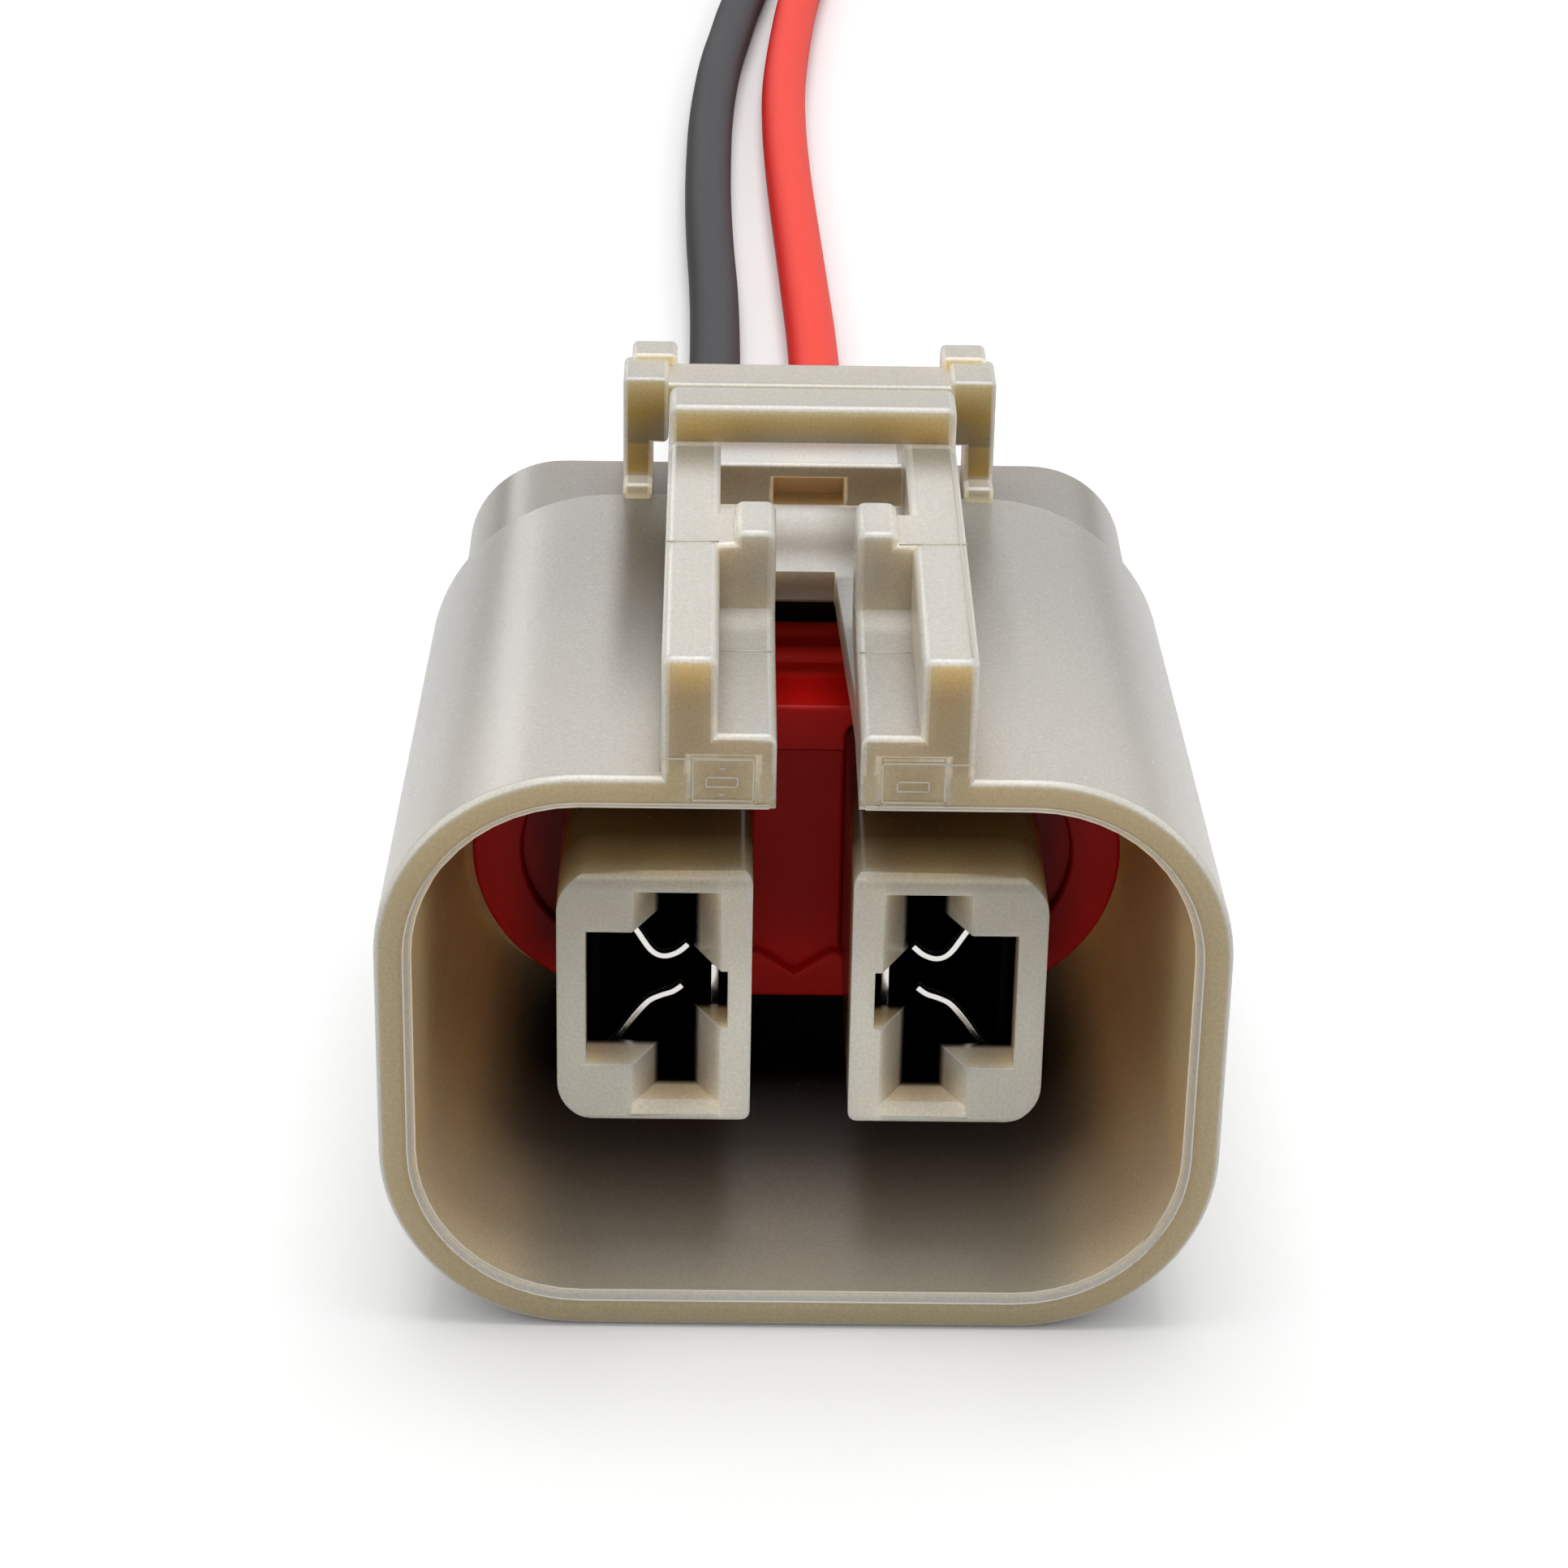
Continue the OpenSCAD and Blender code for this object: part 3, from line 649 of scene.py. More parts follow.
        # painted shade in grooves and inner corners, where little light reaches
        groove = (1.0 - g.open_share(self.groove_reach)).rise(*self.groove_range)
        shaded = self.groove_share * groove * spot.y.between(*self.groove_y)
        return g.blend(shaded, colour, self.groove_shade_colour, "MULTIPLY")

    def _inside(self, g: Graph, spot: Spot) -> Signal:
        """The colour inside the hood: its walls with a painted glow, a floor in painted shade that darkens to
        the back, its corners with a painted glow, and the core in painted shade.

        Args:
            g: the material's graph.
            spot: the surface point.

        Returns:
            The colour.
        """
        reach = spot.y.along(*self.hood_y)
        walls = g.ramp(reach, self.wall_colours)
        colour = g.blend(spot.up.rise(*self.floor_turn), walls, g.ramp(reach, self.floor_colours))
        # painted glow in the hood's lower corners
        corner = spot.up.between(*self.corner_turn) * reach.fall(*self.corner_reach)
        colour = g.blend(corner, colour, self.corner_glow_colour)
        # painted shade: the core at the back black
        core = (-spot.ahead).rise(*self.core_turn) * reach.rise(*self.core_reach)
        return g.blend(core * abs(spot.x).fall(*self.core_x), colour, self.core_shade_colour)

    def _tower(self, g: Graph, spot: Spot) -> Signal:
        """The colour of the towers, in painted shade dark to the back and on their upper part, and with
        painted light palest in their thin inner columns and lower sills.

        Args:
            g: the material's graph.
            spot: the surface point.

        Returns:
            The colour.
        """
        # painted light on the thin inner columns and the lower sills
        column = abs(spot.x).fall(*self.column_x) * spot.y.fall(*self.nose_y) * spot.z.fall(*self.column_z)
        sill = spot.up.rise(*self.sill_turn) * spot.z.fall(*self.sill_z)
        colour = g.ramp(spot.y.along(*self.tower_y), self.tower_colours)
        colour = g.blend(column.highest(sill), colour, self.column_light_colour)
        # painted shade on the towers' upper part
        shaded = g.blend(1.0, colour, self.tower_shade, "MULTIPLY")
        return g.blend(spot.z.rise(*self.tower_shade_z), colour, shaded)

    def _edge_highlights(self, spot: Spot, under: Signal, high: Signal) -> Signal:
        """How much painted highlight the rounded edges take.

        Args:
            spot: the surface point.
            under: how far it lies inside the hood's outer skin.
            high: 1 above the roof.

        Returns:
            0 on plain faces to 1 on edges that look up and ahead.
        """
        ridge = (-spot.ahead).between(*self.ridge_turn)
        lit = (ridge * spot.up.rise(*self.ridge_up)).highest(self.ridge_share * ridge)
        latch_edge = high * abs(spot.side).between(*self.latch_edge_turn)
        lit = lit.highest(self.latch_edge_share * latch_edge)
        lit = lit * (1.0 - under.between(*self.dull_under))
        return lit * (1.0 - self.half_dull_share * under.between(*self.half_dull_under))

    def _front(self, g: Graph, spot: Spot, high: Signal) -> Signal:
        """The colour of faces that look to the mouth's side: amber, with painted shade low down and on the
        bridge, and a painted glow at edges.

        Args:
            g: the material's graph.
            spot: the surface point.
            high: 1 above the roof.

        Returns:
            The colour.
        """
        aside = abs(spot.x - PLUG.latch_x)
        rail = g.ramp(spot.z.along(PLUG.roof_z, PLUG.rail_top), self.rail_colours)
        colour = g.blend(spot.y.rise(*self.post_y), rail, self.post_colour)
        pad = g.ramp(spot.z.along(*self.pad_z), self.pad_colours)
        ear = g.ramp(spot.z.along(*self.ear_z), self.ear_colours)
        # painted shade on the ears' sides towards the pad
        shaded = self.ear_shade * aside.fall(*self.ear_shade_x) * spot.z.between(*self.ear_shade_z)
        ear = g.blend(shaded, ear, self.bridge_shade_brown)
        ear = g.blend(spot.y.rise(*self.block_y), ear, self.back_colour)
        eared = spot.y.rise(*self.ear_y)
        colour = g.blend(spot.y.rise(*self.pad_y) * high, colour, g.blend(eared, pad, ear))
        # painted shade on the bridge's front; the recess behind it paler amber
        bridged = spot.y.rise(*self.bridge_y) * aside.fall(*self.bridge_x) * spot.z.fall(*self.bridge_z)
        bridge = g.blend(spot.y.rise(*self.recess_y), self.bridge_shade_brown, self.recess_brown)
        colour = g.blend(bridged, colour, bridge)
        # painted shade on the slot's end wall
        colour = g.blend(spot.y.between(*self.slot_end_y) * (1.0 - high), colour, self.slot_end_shade)
        # painted glow: front faces paler near their edges, as if lit through the thin plastic
        glow = (1.0 - g.open_share(self.glow_reach, inside=True)).rise(*self.glow_range)
        share = self.glow_share - (self.glow_share - self.ear_glow_share) * eared
        return g.blend(share * glow * (1.0 - bridged), colour, self.glow_colour)

    def _plain(self, g: Graph, spot: Spot, high: Signal) -> Signal:
        """The colour of the other outer faces: roof, latch, rear shell, and the room in front of the bridge,
        with painted shade beside the rails, under the pad and towards the back, and painted light in the room
        in front of the bridge.

        Args:
            g: the material's graph.
            spot: the surface point.
            high: 1 above the roof.

        Returns:
            The colour.
        """
        aside = abs(spot.x - PLUG.latch_x)
        # painted shade: the roof darker towards the back and on the rear shell
        roof = g.blend(spot.y.rise(*self.roof_y), self.roof_colour, self.roof_back_shade)
        roof = g.blend(spot.y.rise(*self.rear_y), roof, self.rear_shade_colour)
        # painted shadow on the roof beside the latch rails, deeper beside the left rail
        right = self.right_shade * spot.x.between(*self.right_shade_x)
        beside = spot.x.between(*self.left_shade_x).highest(right)
        roof = g.blend(beside * spot.y.rise(*self.shade_y), roof, self.shade_colour)
        amid = aside.fall(*self.ledge_x)
        latch = g.blend(amid * spot.z.fall(*self.ledge_z), self.latch_colour, self.ledge_colour)
        # painted shadow on the rails' tops in front of the pad
        below_pad = spot.y.rise(*self.pad_shade_y) * spot.z.fall(*self.pad_shade_z)
        latch = g.blend(below_pad, latch, self.pad_shade)
        latch = g.blend(spot.y.rise(*self.arch_y), latch, self.back_colour)
        # painted light in the room in front of the bridge, with painted shade on its right half
        sheltered = amid * spot.y.between(*self.shelter_y) * spot.z.fall(*self.shelter_z)
        pocket = spot.x.rise(*self.pocket_x) * spot.y.fall(*self.pocket_y)
        lit = g.blend(pocket, self.lit_colour, self.pocket_shade)
        colour = g.blend(sheltered, g.blend(high, roof, latch), lit)
        # painted shade in the window under the bridge
        window = spot.y.rise(*self.window_y) * spot.z.fall(*self.window_z)
        return g.blend(sheltered * window, colour, self.window_shade_brown)

    def _hollow(self, spot: Spot) -> Signal:
        """1 in the terminals' chambers, which are painted black as shade."""
        hollow = abs(spot.x).between(*self.cavity_x) * spot.z.between(*self.cavity_z)
        return hollow * spot.y.rise(*self.chamber_y) * spot.y.fall(*self.core_y)

    @staticmethod
    def _under_skin(spot: Spot) -> Signal:
        """How far a point lies inside the hood's outer skin.

        Args:
            spot: the surface point.

        Returns:
            The depth in millimetres.
        """
        middle = PLUG.roof_z / 2
        leaning = abs(spot.x) + (spot.y - PLUG.mouth_y) * PLUG.hood_lean
        across = (leaning - (PLUG.hood_half - PLUG.hood_radius)).highest(0.0)
        above = (abs(spot.z - middle) - (middle - PLUG.hood_radius)).highest(0.0)
        return PLUG.hood_radius - (across**2.0 + above**2.0) ** 0.5


@dataclass(frozen=True)
class Hairline:
    """The raised hairlines of the moulding, paler than its faces: a painted highlight."""

    colour: Colour = (0.72, 0.68, 0.58)
    low_colour: Colour = (0.6, 0.56, 0.47)
    mouth_highlight_colour: Colour = (0.92, 0.9, 0.84)
    mouth_y: Range = (PLUG.mouth_y + 0.1, PLUG.mouth_y + 0.13)
    mouth_z: Range = (PLUG.roof_z - 0.5, PLUG.roof_z - 0.3)
    wear: NoiseForm = (1.5, 3.0)
    roughness: float = 0.25
    rough_wear: float = 0.2

    def material(self) -> bpy.types.Material:
        """Builds the finish.

        Returns:
            The material.
        """
        material, g = new_material("hairline")
        place = g.place()
        wear = g.noise(place, *self.wear)
        _, y, z = g.axes(place)
        # painted highlight, brightest on the lines round the mouth
        inside = y.rise(*self.mouth_y) * z.fall(*self.mouth_z)
        outer = g.blend(wear, self.low_colour, self.colour)
        g.surface(
            {
                "Base Color": g.blend(inside, outer, self.mouth_highlight_colour),
                "Roughness": self.roughness + self.rough_wear * wear,
            }
        )
        return material


@dataclass(frozen=True)
class Silicone:
    """Dark red silicone with a soft gloss, with painted shade beside the towers and on top of its front, and
    painted light on its beads.
    """

    colour: Colour = (0.85, 0.008, 0.006)
    low_colour: Colour = (0.7, 0.005, 0.004)
    top_shade_colour: Colour = (0.5, 0.002, 0.001)
    bead_light_colour: Colour = (1.0, 0.03, 0.02)
    foot_colour: Colour = (0.62, 0.006, 0.004)
    shade_colour: Colour = (0.2, 0.001, 0.001)
    top_turn: Range = (0.4, 0.8)
    top_y: Range = (1.5, 3.0)
    bead_y: Band = (3.0, 7.0, 0.5)
    shade_start_x: Range = (2.0, 2.5)
    shade_end_x: Range = (9.2, 11.4)
    shade_y: Range = (3.0, 3.5)
    foot_z: Range = (5.5, 8.5)
    mottle: NoiseForm = (0.8, 3.0)
    grain: NoiseForm = (9.0, 2.0)
    grain_bump: Relief = (0.008, 0.3)
    roughness: float = 0.34
    rough_grain: float = 0.16
    scatter_radius: Colour = (1.0, 0.15, 0.1)
    scatter_scale: float = 0.6 * MM

    def material(self) -> bpy.types.Material:
        """Builds the finish.

        Returns:
            The material.
        """
        material, g = new_material("red_silicone")
        place = g.place()
        grain = g.noise(place, *self.grain)
        x, y, z = g.axes(place)
        _, _, up = g.axes(g.facing())
        width = abs(x)
        colour = g.blend(g.noise(place, *self.mottle), self.low_colour, self.colour)
        # painted shade on the tops near the front
        colour = g.blend(up.rise(*self.top_turn) * y.fall(*self.top_y), colour, self.top_shade_colour)
        # painted light on the beads further back
        colour = g.blend(y.between(*self.bead_y), colour, self.bead_light_colour)
        # painted shade beside the towers
        beside = width.rise(*self.shade_start_x) * width.fall(*self.shade_end_x) * y.fall(*self.shade_y)
        colour = g.blend(beside, colour, self.shade_colour)
        g.surface(
            {
                "Base Color": g.blend(z.fall(*self.foot_z), colour, self.foot_colour),
                "Roughness": self.roughness + self.rough_grain * grain,
                "Normal": g.bump(grain, *self.grain_bump),
                "Specular IOR Level": 0.2,
                "Subsurface Weight": 0.3,
                "Subsurface Radius": self.scatter_radius,
                "Subsurface Scale": self.scatter_scale,
            }
        )
        return material


@dataclass(frozen=True)
class TinPlate:
    """Bright tin over stamped brass, brushed along the strip, painted black as shade where the chamber hides
    it.
    """

    colour: Colour = (0.9, 0.89, 0.87)
    dull_colour: Colour = (0.7, 0.68, 0.64)
    chamber_shade_colour: Colour = (0.003, 0.003, 0.003)
    hidden_y: Range = (-9.45, -9.2)
    hidden_x: Range = (7.05, 7.15)
    brush_stretch: Point = (6.0, 0.6, 6.0)
    brush: NoiseForm = (2.5, 3.0)
    brush_bump: Relief = (0.004, 0.3)
    roughness: float = 0.2
    rough_brush: float = 0.16
    rough_hidden: float = 0.4

    def material(self) -> bpy.types.Material:
        """Builds the finish.

        Returns:
            The material.
        """
        material, g = new_material("tin_plate")
        place = g.place()
        brush = g.noise(g.stretch(place, self.brush_stretch), *self.brush)
        x, y, _ = g.axes(place)
        bare = g.blend(brush, self.dull_colour, self.colour)
        # painted shade: black deep in the chamber and at its sides
        hidden = y.rise(*self.hidden_y).highest(abs(x).rise(*self.hidden_x))
        g.surface(
            {
                "Base Color": g.blend(hidden, bare, self.chamber_shade_colour),
                "Metallic": 1.0,
                "Roughness": self.roughness + self.rough_brush * brush + self.rough_hidden * hidden,
                "Normal": g.bump(brush, *self.brush_bump),
            }
        )
        return material


@dataclass(frozen=True)
class Insulation:
    """Extruded insulation with faint streaks along the lead, with painted shade down its sides."""

    name: str
    colour: Colour
    streak_colour: Colour
    side_shade_colour: Colour
    scatter: float
    roughness: float = 0.5
    rough_grain: float = 0.12
    streak_stretch: Point = (1.6, 0.12, 1.6)
    streak: NoiseForm = (1.2, 3.0)
    grain: NoiseForm = (6.0, 2.0)
    grain_bump: Relief = (0.01, 0.3)
    top_lean: float = 0.35
    top_turn: Range = (0.1, 0.95)
    scatter_radius: Colour = (1.0, 0.3, 0.25)
    scatter_scale: float = 0.5 * MM

    def material(self) -> bpy.types.Material:
        """Builds the finish.

        Returns:
            The material.
        """
        material, g = new_material(self.name)
        place = g.place()
        streak = g.noise(g.stretch(place, self.streak_stretch), *self.streak)
        grain = g.noise(place, *self.grain)
        side, _, up = g.axes(g.facing())
        # painted shade: the upper side lighter and the sides darker, as light falls on a round lead
        top = (up + self.top_lean * side).rise(*self.top_turn)
        streaked = g.blend(streak, self.streak_colour, self.colour)
        g.surface(
            {
                "Base Color": g.blend(top, self.side_shade_colour, streaked),
                "Roughness": self.roughness + self.rough_grain * grain,
                "Normal": g.bump(grain, *self.grain_bump),
                "Specular IOR Level": 0.1,
                "Subsurface Weight": self.scatter,
                "Subsurface Radius": self.scatter_radius,
                "Subsurface Scale": self.scatter_scale,
            }
        )
        return material


@dataclass(frozen=True)
class CopperStrand:
    """Bare drawn copper, a little dulled."""

    bright: Colour = (0.86, 0.42, 0.22)
    dull: Colour = (0.5, 0.22, 0.11)
    stain: NoiseForm = (1.4, 4.0)
    grain_scale: float = 12.0
    grain_bump: Relief = (0.004, 0.3)
    roughness: float = 0.22
    rough_stain: float = 0.2

    def material(self) -> bpy.types.Material:
        """Builds the finish.

        Returns:
            The material.
        """
        material, g = new_material("copper_strand")
        place = g.place()
        stain = g.noise(place, *self.stain)
        g.surface(
            {
                "Base Color": g.blend(stain, self.dull, self.bright),
                "Metallic": 1.0,
                "Roughness": self.roughness + self.rough_stain * stain,
                "Normal": g.bump(g.noise(place, self.grain_scale), *self.grain_bump),
            }
        )
        return material


# Mesh helpers


EdgeRule = Callable[[bmesh.types.BMEdge], float]

WELD_DISTANCE = 1e-7
FLAT_ANGLE = math.radians(0.4)
LEAST_FOLD = 35.0
WIDEST_EDGE = 0.5 * MM
QUARTER_TURN = 90.0


def link(piece: bpy.types.Object) -> bpy.types.Object:
    """Puts a new object into the scene."""
    bpy.context.scene.collection.objects.link(piece)
    return piece


def settle(piece: bpy.types.Object) -> None:
    """Bakes a piece's modifiers into its mesh.

    Args:
        piece: the piece.
    """
    seen = piece.evaluated_get(bpy.context.evaluated_depsgraph_get())
    mesh = bpy.data.meshes.new_from_object(seen)
    old = piece.data
    piece.modifiers.clear()
    piece.data = mesh
    bpy.data.meshes.remove(old)


def dress(piece: bpy.types.Object, material: bpy.types.Material) -> None:
    """Gives a piece its material and its body.

    Args:
        piece: the piece.
        material: its finish.
    """
    piece.data.materials.clear()
    piece.data.materials.append(material)
    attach(piece, ROOT)
    log.info("dressed %s", piece.name)


def sweep(
    bm: bmesh.types.BMesh, line: Sequence[Vector], radius: float, sides: int = 6, tip: float = 1.0
) -> None:
    """Adds a round rod along a line.

    Args:
        bm: the mesh that takes it.
        line: the rod's middle.
        radius: the rod's radius.
        sides: faces round the rod.
        tip: the last ring's size against the others.
    """
    steep = 0.8
    last = len(line) - 1
    turns = [math.tau * side / sides for side in range(sides)]
    loops = []
    for k, middle in enumerate(line):
        ahead = (line[min(k + 1, last)] - line[max(k - 1, 0)]).normalized()
        helper = Vector((0.0, 0.0, 1.0)) if abs(ahead.z) < steep else Vector((1.0, 0.0, 0.0))
        across = ahead.cross(helper).normalized()
        up = across.cross(ahead)
        size = radius * (tip if k == last else 1.0)
        spokes = [math.cos(turn) * across + math.sin(turn) * up for turn in turns]
        loops.append([bm.verts.new(middle + size * spoke) for spoke in spokes])
    for low, high in zip(loops, loops[1:]):
        for side in range(sides):
            after = (side + 1) % sides
            face = bm.faces.new((low[side], high[side], high[after], low[after]))
            face.smooth = True
    bm.faces.new(loops[0])
    bm.faces.new(list(reversed(loops[-1])))


def piece_from(bm: bmesh.types.BMesh, name: str) -> bpy.types.Object:
    """Turns a finished mesh into a piece of the scene.

    Args:
        bm: the mesh, which is freed.
        name: the piece's name.

    Returns:
        The piece.
    """
    mesh = bpy.data.meshes.new(name)
    bmesh.ops.recalc_face_normals(bm, faces=bm.faces)
    bm.to_mesh(mesh)
    bm.free()
    return link(bpy.data.objects.new(name, mesh))


def is_broad(face: bmesh.types.BMFace, width: float) -> bool:
    """Whether a face is wider than a width, by its area and its longest edge."""
    return face.calc_area() > width * max(edge.calc_length() for edge in face.edges)


def mark_creases(mesh: bpy.types.Mesh, level: float) -> None:
    """Marks the edges that stay crisp: steep ones, and also shallow ones between broad faces above a level.

    Args:
        mesh: the rounded mesh.
        level: height above which the faces are flat, so that a shallow fold is a real edge.
    """
    steep, shallow, broad = math.radians(38.0), math.radians(3.0), 0.35 * MM
    bm = bmesh.new()
    bm.from_mesh(mesh)
    for edge in bm.edges:
        turn = edge.calc_face_angle(0.0)
        high = min(vert.co.z for vert in edge.verts) > level
        wide = all(is_broad(face, broad) for face in edge.link_faces)
        edge.smooth = not (turn > steep or (turn > shallow and high and wide))
    bm.to_mesh(mesh)
    bm.free()


def rounded_copy(
    node: str, name: str, rule: EdgeRule, segments: int = 3, level: float = math.inf
) -> bpy.types.Object:
    """Makes a copy of a CAD node with its edges rounded.

    Args:
        node: the CAD node that the copy replaces.
        name: the new piece's name.
        rule: gives each edge's radius in metres, 0 for an edge that stays sharp.
        segments: faces across a rounded edge.
        level: height above which every face is flat, so that shallow folds stay crisp.

    Returns:
        The new piece.
    """
    mesh = bpy.data.meshes.new(name)
    bm = bmesh.new()
    bm.from_mesh(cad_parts[node].data)
    bmesh.ops.remove_doubles(bm, verts=bm.verts, dist=WELD_DISTANCE)
    bmesh.ops.dissolve_limit(
        bm,
        angle_limit=FLAT_ANGLE,
        use_dissolve_boundaries=False,
        verts=bm.verts,
        edges=bm.edges,
        delimit=set(),
    )
    bm.normal_update()
    weight = bm.edges.layers.float.new("bevel_weight_edge")
    for face in bm.faces:
        face.smooth = True
    for edge in bm.edges:
        edge[weight] = min(rule(edge) / WIDEST_EDGE, 1.0)
    bm.to_mesh(mesh)
    bm.free()
    piece = link(bpy.data.objects.new(name, mesh))
    bevel = piece.modifiers.new("edges", "BEVEL")
    bevel.limit_method = "WEIGHT"
    bevel.width = WIDEST_EDGE
    bevel.segments = segments
    bevel.use_clamp_overlap = False
    bevel.miter_outer = "MITER_ARC"
    bevel.harden_normals = False
    settle(piece)
    mark_creases(piece.data, level)
    normals = piece.modifiers.new("normals", "WEIGHTED_NORMAL")
    normals.weight = 100
    normals.keep_sharp = True
    settle(piece)
    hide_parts(node)
    return piece


def fold(edge: bmesh.types.BMEdge) -> float:
    """How far an edge folds.

    Args:
        edge: an edge of a mesh.

    Returns:
        The angle in degrees, positive on an outer edge and negative in an inner corner.
    """
    if len(edge.link_faces) != 2:
        return 0.0
    return math.degrees(edge.calc_face_angle_signed(0.0))


def plain_rounding(radius: float) -> EdgeRule:
    """A rule that rounds every outer edge by one radius."""
    return lambda edge: radius if fold(edge) > LEAST_FOLD else 0.0


# Camera and studio


@dataclass(frozen=True)
class Viewpoint:
    """The photograph's camera, found from the hood's rim, the towers and the latch."""

    place: Point = (-3.33 * MM, -150.28 * MM, 91.17 * MM)
    elevation: float = math.radians(27.0)
    yaw: float = math.radians(1.063)
    roll: float = math.radians(1.128)
    focal_px: float = 5500.0
    picture_px: float = 1932.0
    sensor_mm: float = 36.0
    clip: Range = (0.01, 10.0)

    def build(self) -> None:
        """Makes the camera and selects it."""
        ahead = Vector(
            (
                math.sin(self.yaw) * math.cos(self.elevation),
                math.cos(self.yaw) * math.cos(self.elevation),
                -math.sin(self.elevation),
            )
        )
        level = Vector((math.cos(self.yaw), -math.sin(self.yaw), 0.0))
        upright = level.cross(ahead)
        right = math.cos(self.roll) * level + math.sin(self.roll) * upright
        up = -math.sin(self.roll) * level + math.cos(self.roll) * upright
        turn = Matrix((right, up, -ahead)).transposed().to_4x4()
        data = bpy.data.cameras.new("viewpoint")
        data.sensor_width = self.sensor_mm
        data.lens = self.focal_px / self.picture_px * self.sensor_mm
        data.clip_start, data.clip_end = self.clip
        camera = link(bpy.data.objects.new("viewpoint", data))
        camera.matrix_world = Matrix.Translation(self.place) @ turn
        bpy.context.scene.camera = camera


@dataclass(frozen=True)
class Softbox:
    """A square or strip lamp that looks at the plug."""

    name: str
    place: Point
    size: tuple[float, float]
    radiance: float

    def build(self, target: Vector) -> None:
        """Makes the lamp.

        Args:
            target: the point that it faces.
        """
        data = bpy.data.lights.new(self.name, "AREA")
        data.shape = "RECTANGLE"
        data.size, data.size_y = self.size
        data.energy = self.radiance * math.pi * self.size[0] * self.size[1]
        lamp = link(bpy.data.objects.new(self.name, data))
        lamp.location = self.place
        lamp.rotation_euler = (target - Vector(self.place)).to_track_quat("-Z", "Y").to_euler()


@dataclass(frozen=True)
class Studio:
    """White table, white surround and soft lamps."""

    ambient: float = 0.42
    horizon_dip: float = 0.7
    horizon_band: Band = (-0.02, 0.08, 0.06)
    table_size: float = 4.0
    table_colour: Colour = (0.8, 0.8, 0.8)
    table_lift: float = 0.29
    contact_mm: float = 2.0
    contact_power: float = 2.0
    aim: Point = (0.0, 0.0, 0.012)
    softboxes: tuple[Softbox, ...] = (
        Softbox("overhead", (0.0, 0.04, 0.6), (0.36, 0.36), 5.2),
        Softbox("back_left", (-0.287, 0.743, 0.26), (0.06, 0.35), 2.2),
    )

    def build(self) -> None:
        """Makes the table, the surround and the lamps."""
        for softbox in self.softboxes:
            softbox.build(Vector(self.aim))
        self._surround()
        self._table()
        bpy.context.scene.view_settings.view_transform = "Standard"

    @staticmethod
    def _seen(g: Graph) -> Signal:
        """Tells the rays that show a surface from those that carry its light.

        Args:
            g: the graph of a material or a world.

        Returns:
            1 for rays from the camera, in reflections and through clear materials, 0 for the others.
        """
        camera = g.add("ShaderNodeLightPath", output="Is Camera Ray")
        glossy = g.add("ShaderNodeLightPath", output="Is Glossy Ray")
        clear = g.add("ShaderNodeLightPath", output="Is Transmission Ray")
        return camera.highest(glossy).highest(clear)

    def _surround(self) -> None:
        """White to the eye, dimmer as a light, with a darker horizon in reflections."""
        world = bpy.data.worlds.new("surround")
        world.use_nodes = True
        bpy.context.scene.world = world
        g = Graph(world.node_tree)
        _, _, height = g.axes(g.add("ShaderNodeTexCoord", output="Generated"))
        glossy = g.add("ShaderNodeLightPath", output="Is Glossy Ray")
        dip = self.horizon_dip * glossy * height.between(*self.horizon_band)
        strength = self._seen(g) * (1.0 - self.ambient) + self.ambient - dip
        white = (1.0, 1.0, 1.0, 1.0)
        light = g.add("ShaderNodeBackground", None, {"Color": white, "Strength": strength})
        g.add("ShaderNodeOutputWorld", None, {"Surface": light})

    def _table(self) -> None:
        """A pale table that takes the plug's shadow, lifted to white where nothing stands close by."""
        half = self.table_size / 2
        mesh = bpy.data.meshes.new("table")
        corners = [(-half, -half, 0.0), (half, -half, 0.0), (half, half, 0.0), (-half, half, 0.0)]
        mesh.from_pydata(corners, [], [(0, 1, 2, 3)])
        table = link(bpy.data.objects.new("table", mesh))
        material, g = new_material("table_white")
        matt = g.add("ShaderNodeBsdfDiffuse", None, {"Color": (*self.table_colour, 1.0)})
        lift = g.add("ShaderNodeEmission", None, {"Strength": self.table_lift})
        both = g.add("ShaderNodeAddShader", None, {0: matt, 1: lift})
        # painted contact shadow: the lift to white fades where the plug stands close
        clear = g.open_share(self.contact_mm, own=False) ** self.contact_power
        shown = g.add("ShaderNodeMixShader", None, {"Fac": self._seen(g) * clear, 1: matt, 2: both})
        g.add("ShaderNodeOutputMaterial", None, {"Surface": shown})
        mesh.materials.append(material)


# Sub-assemblies


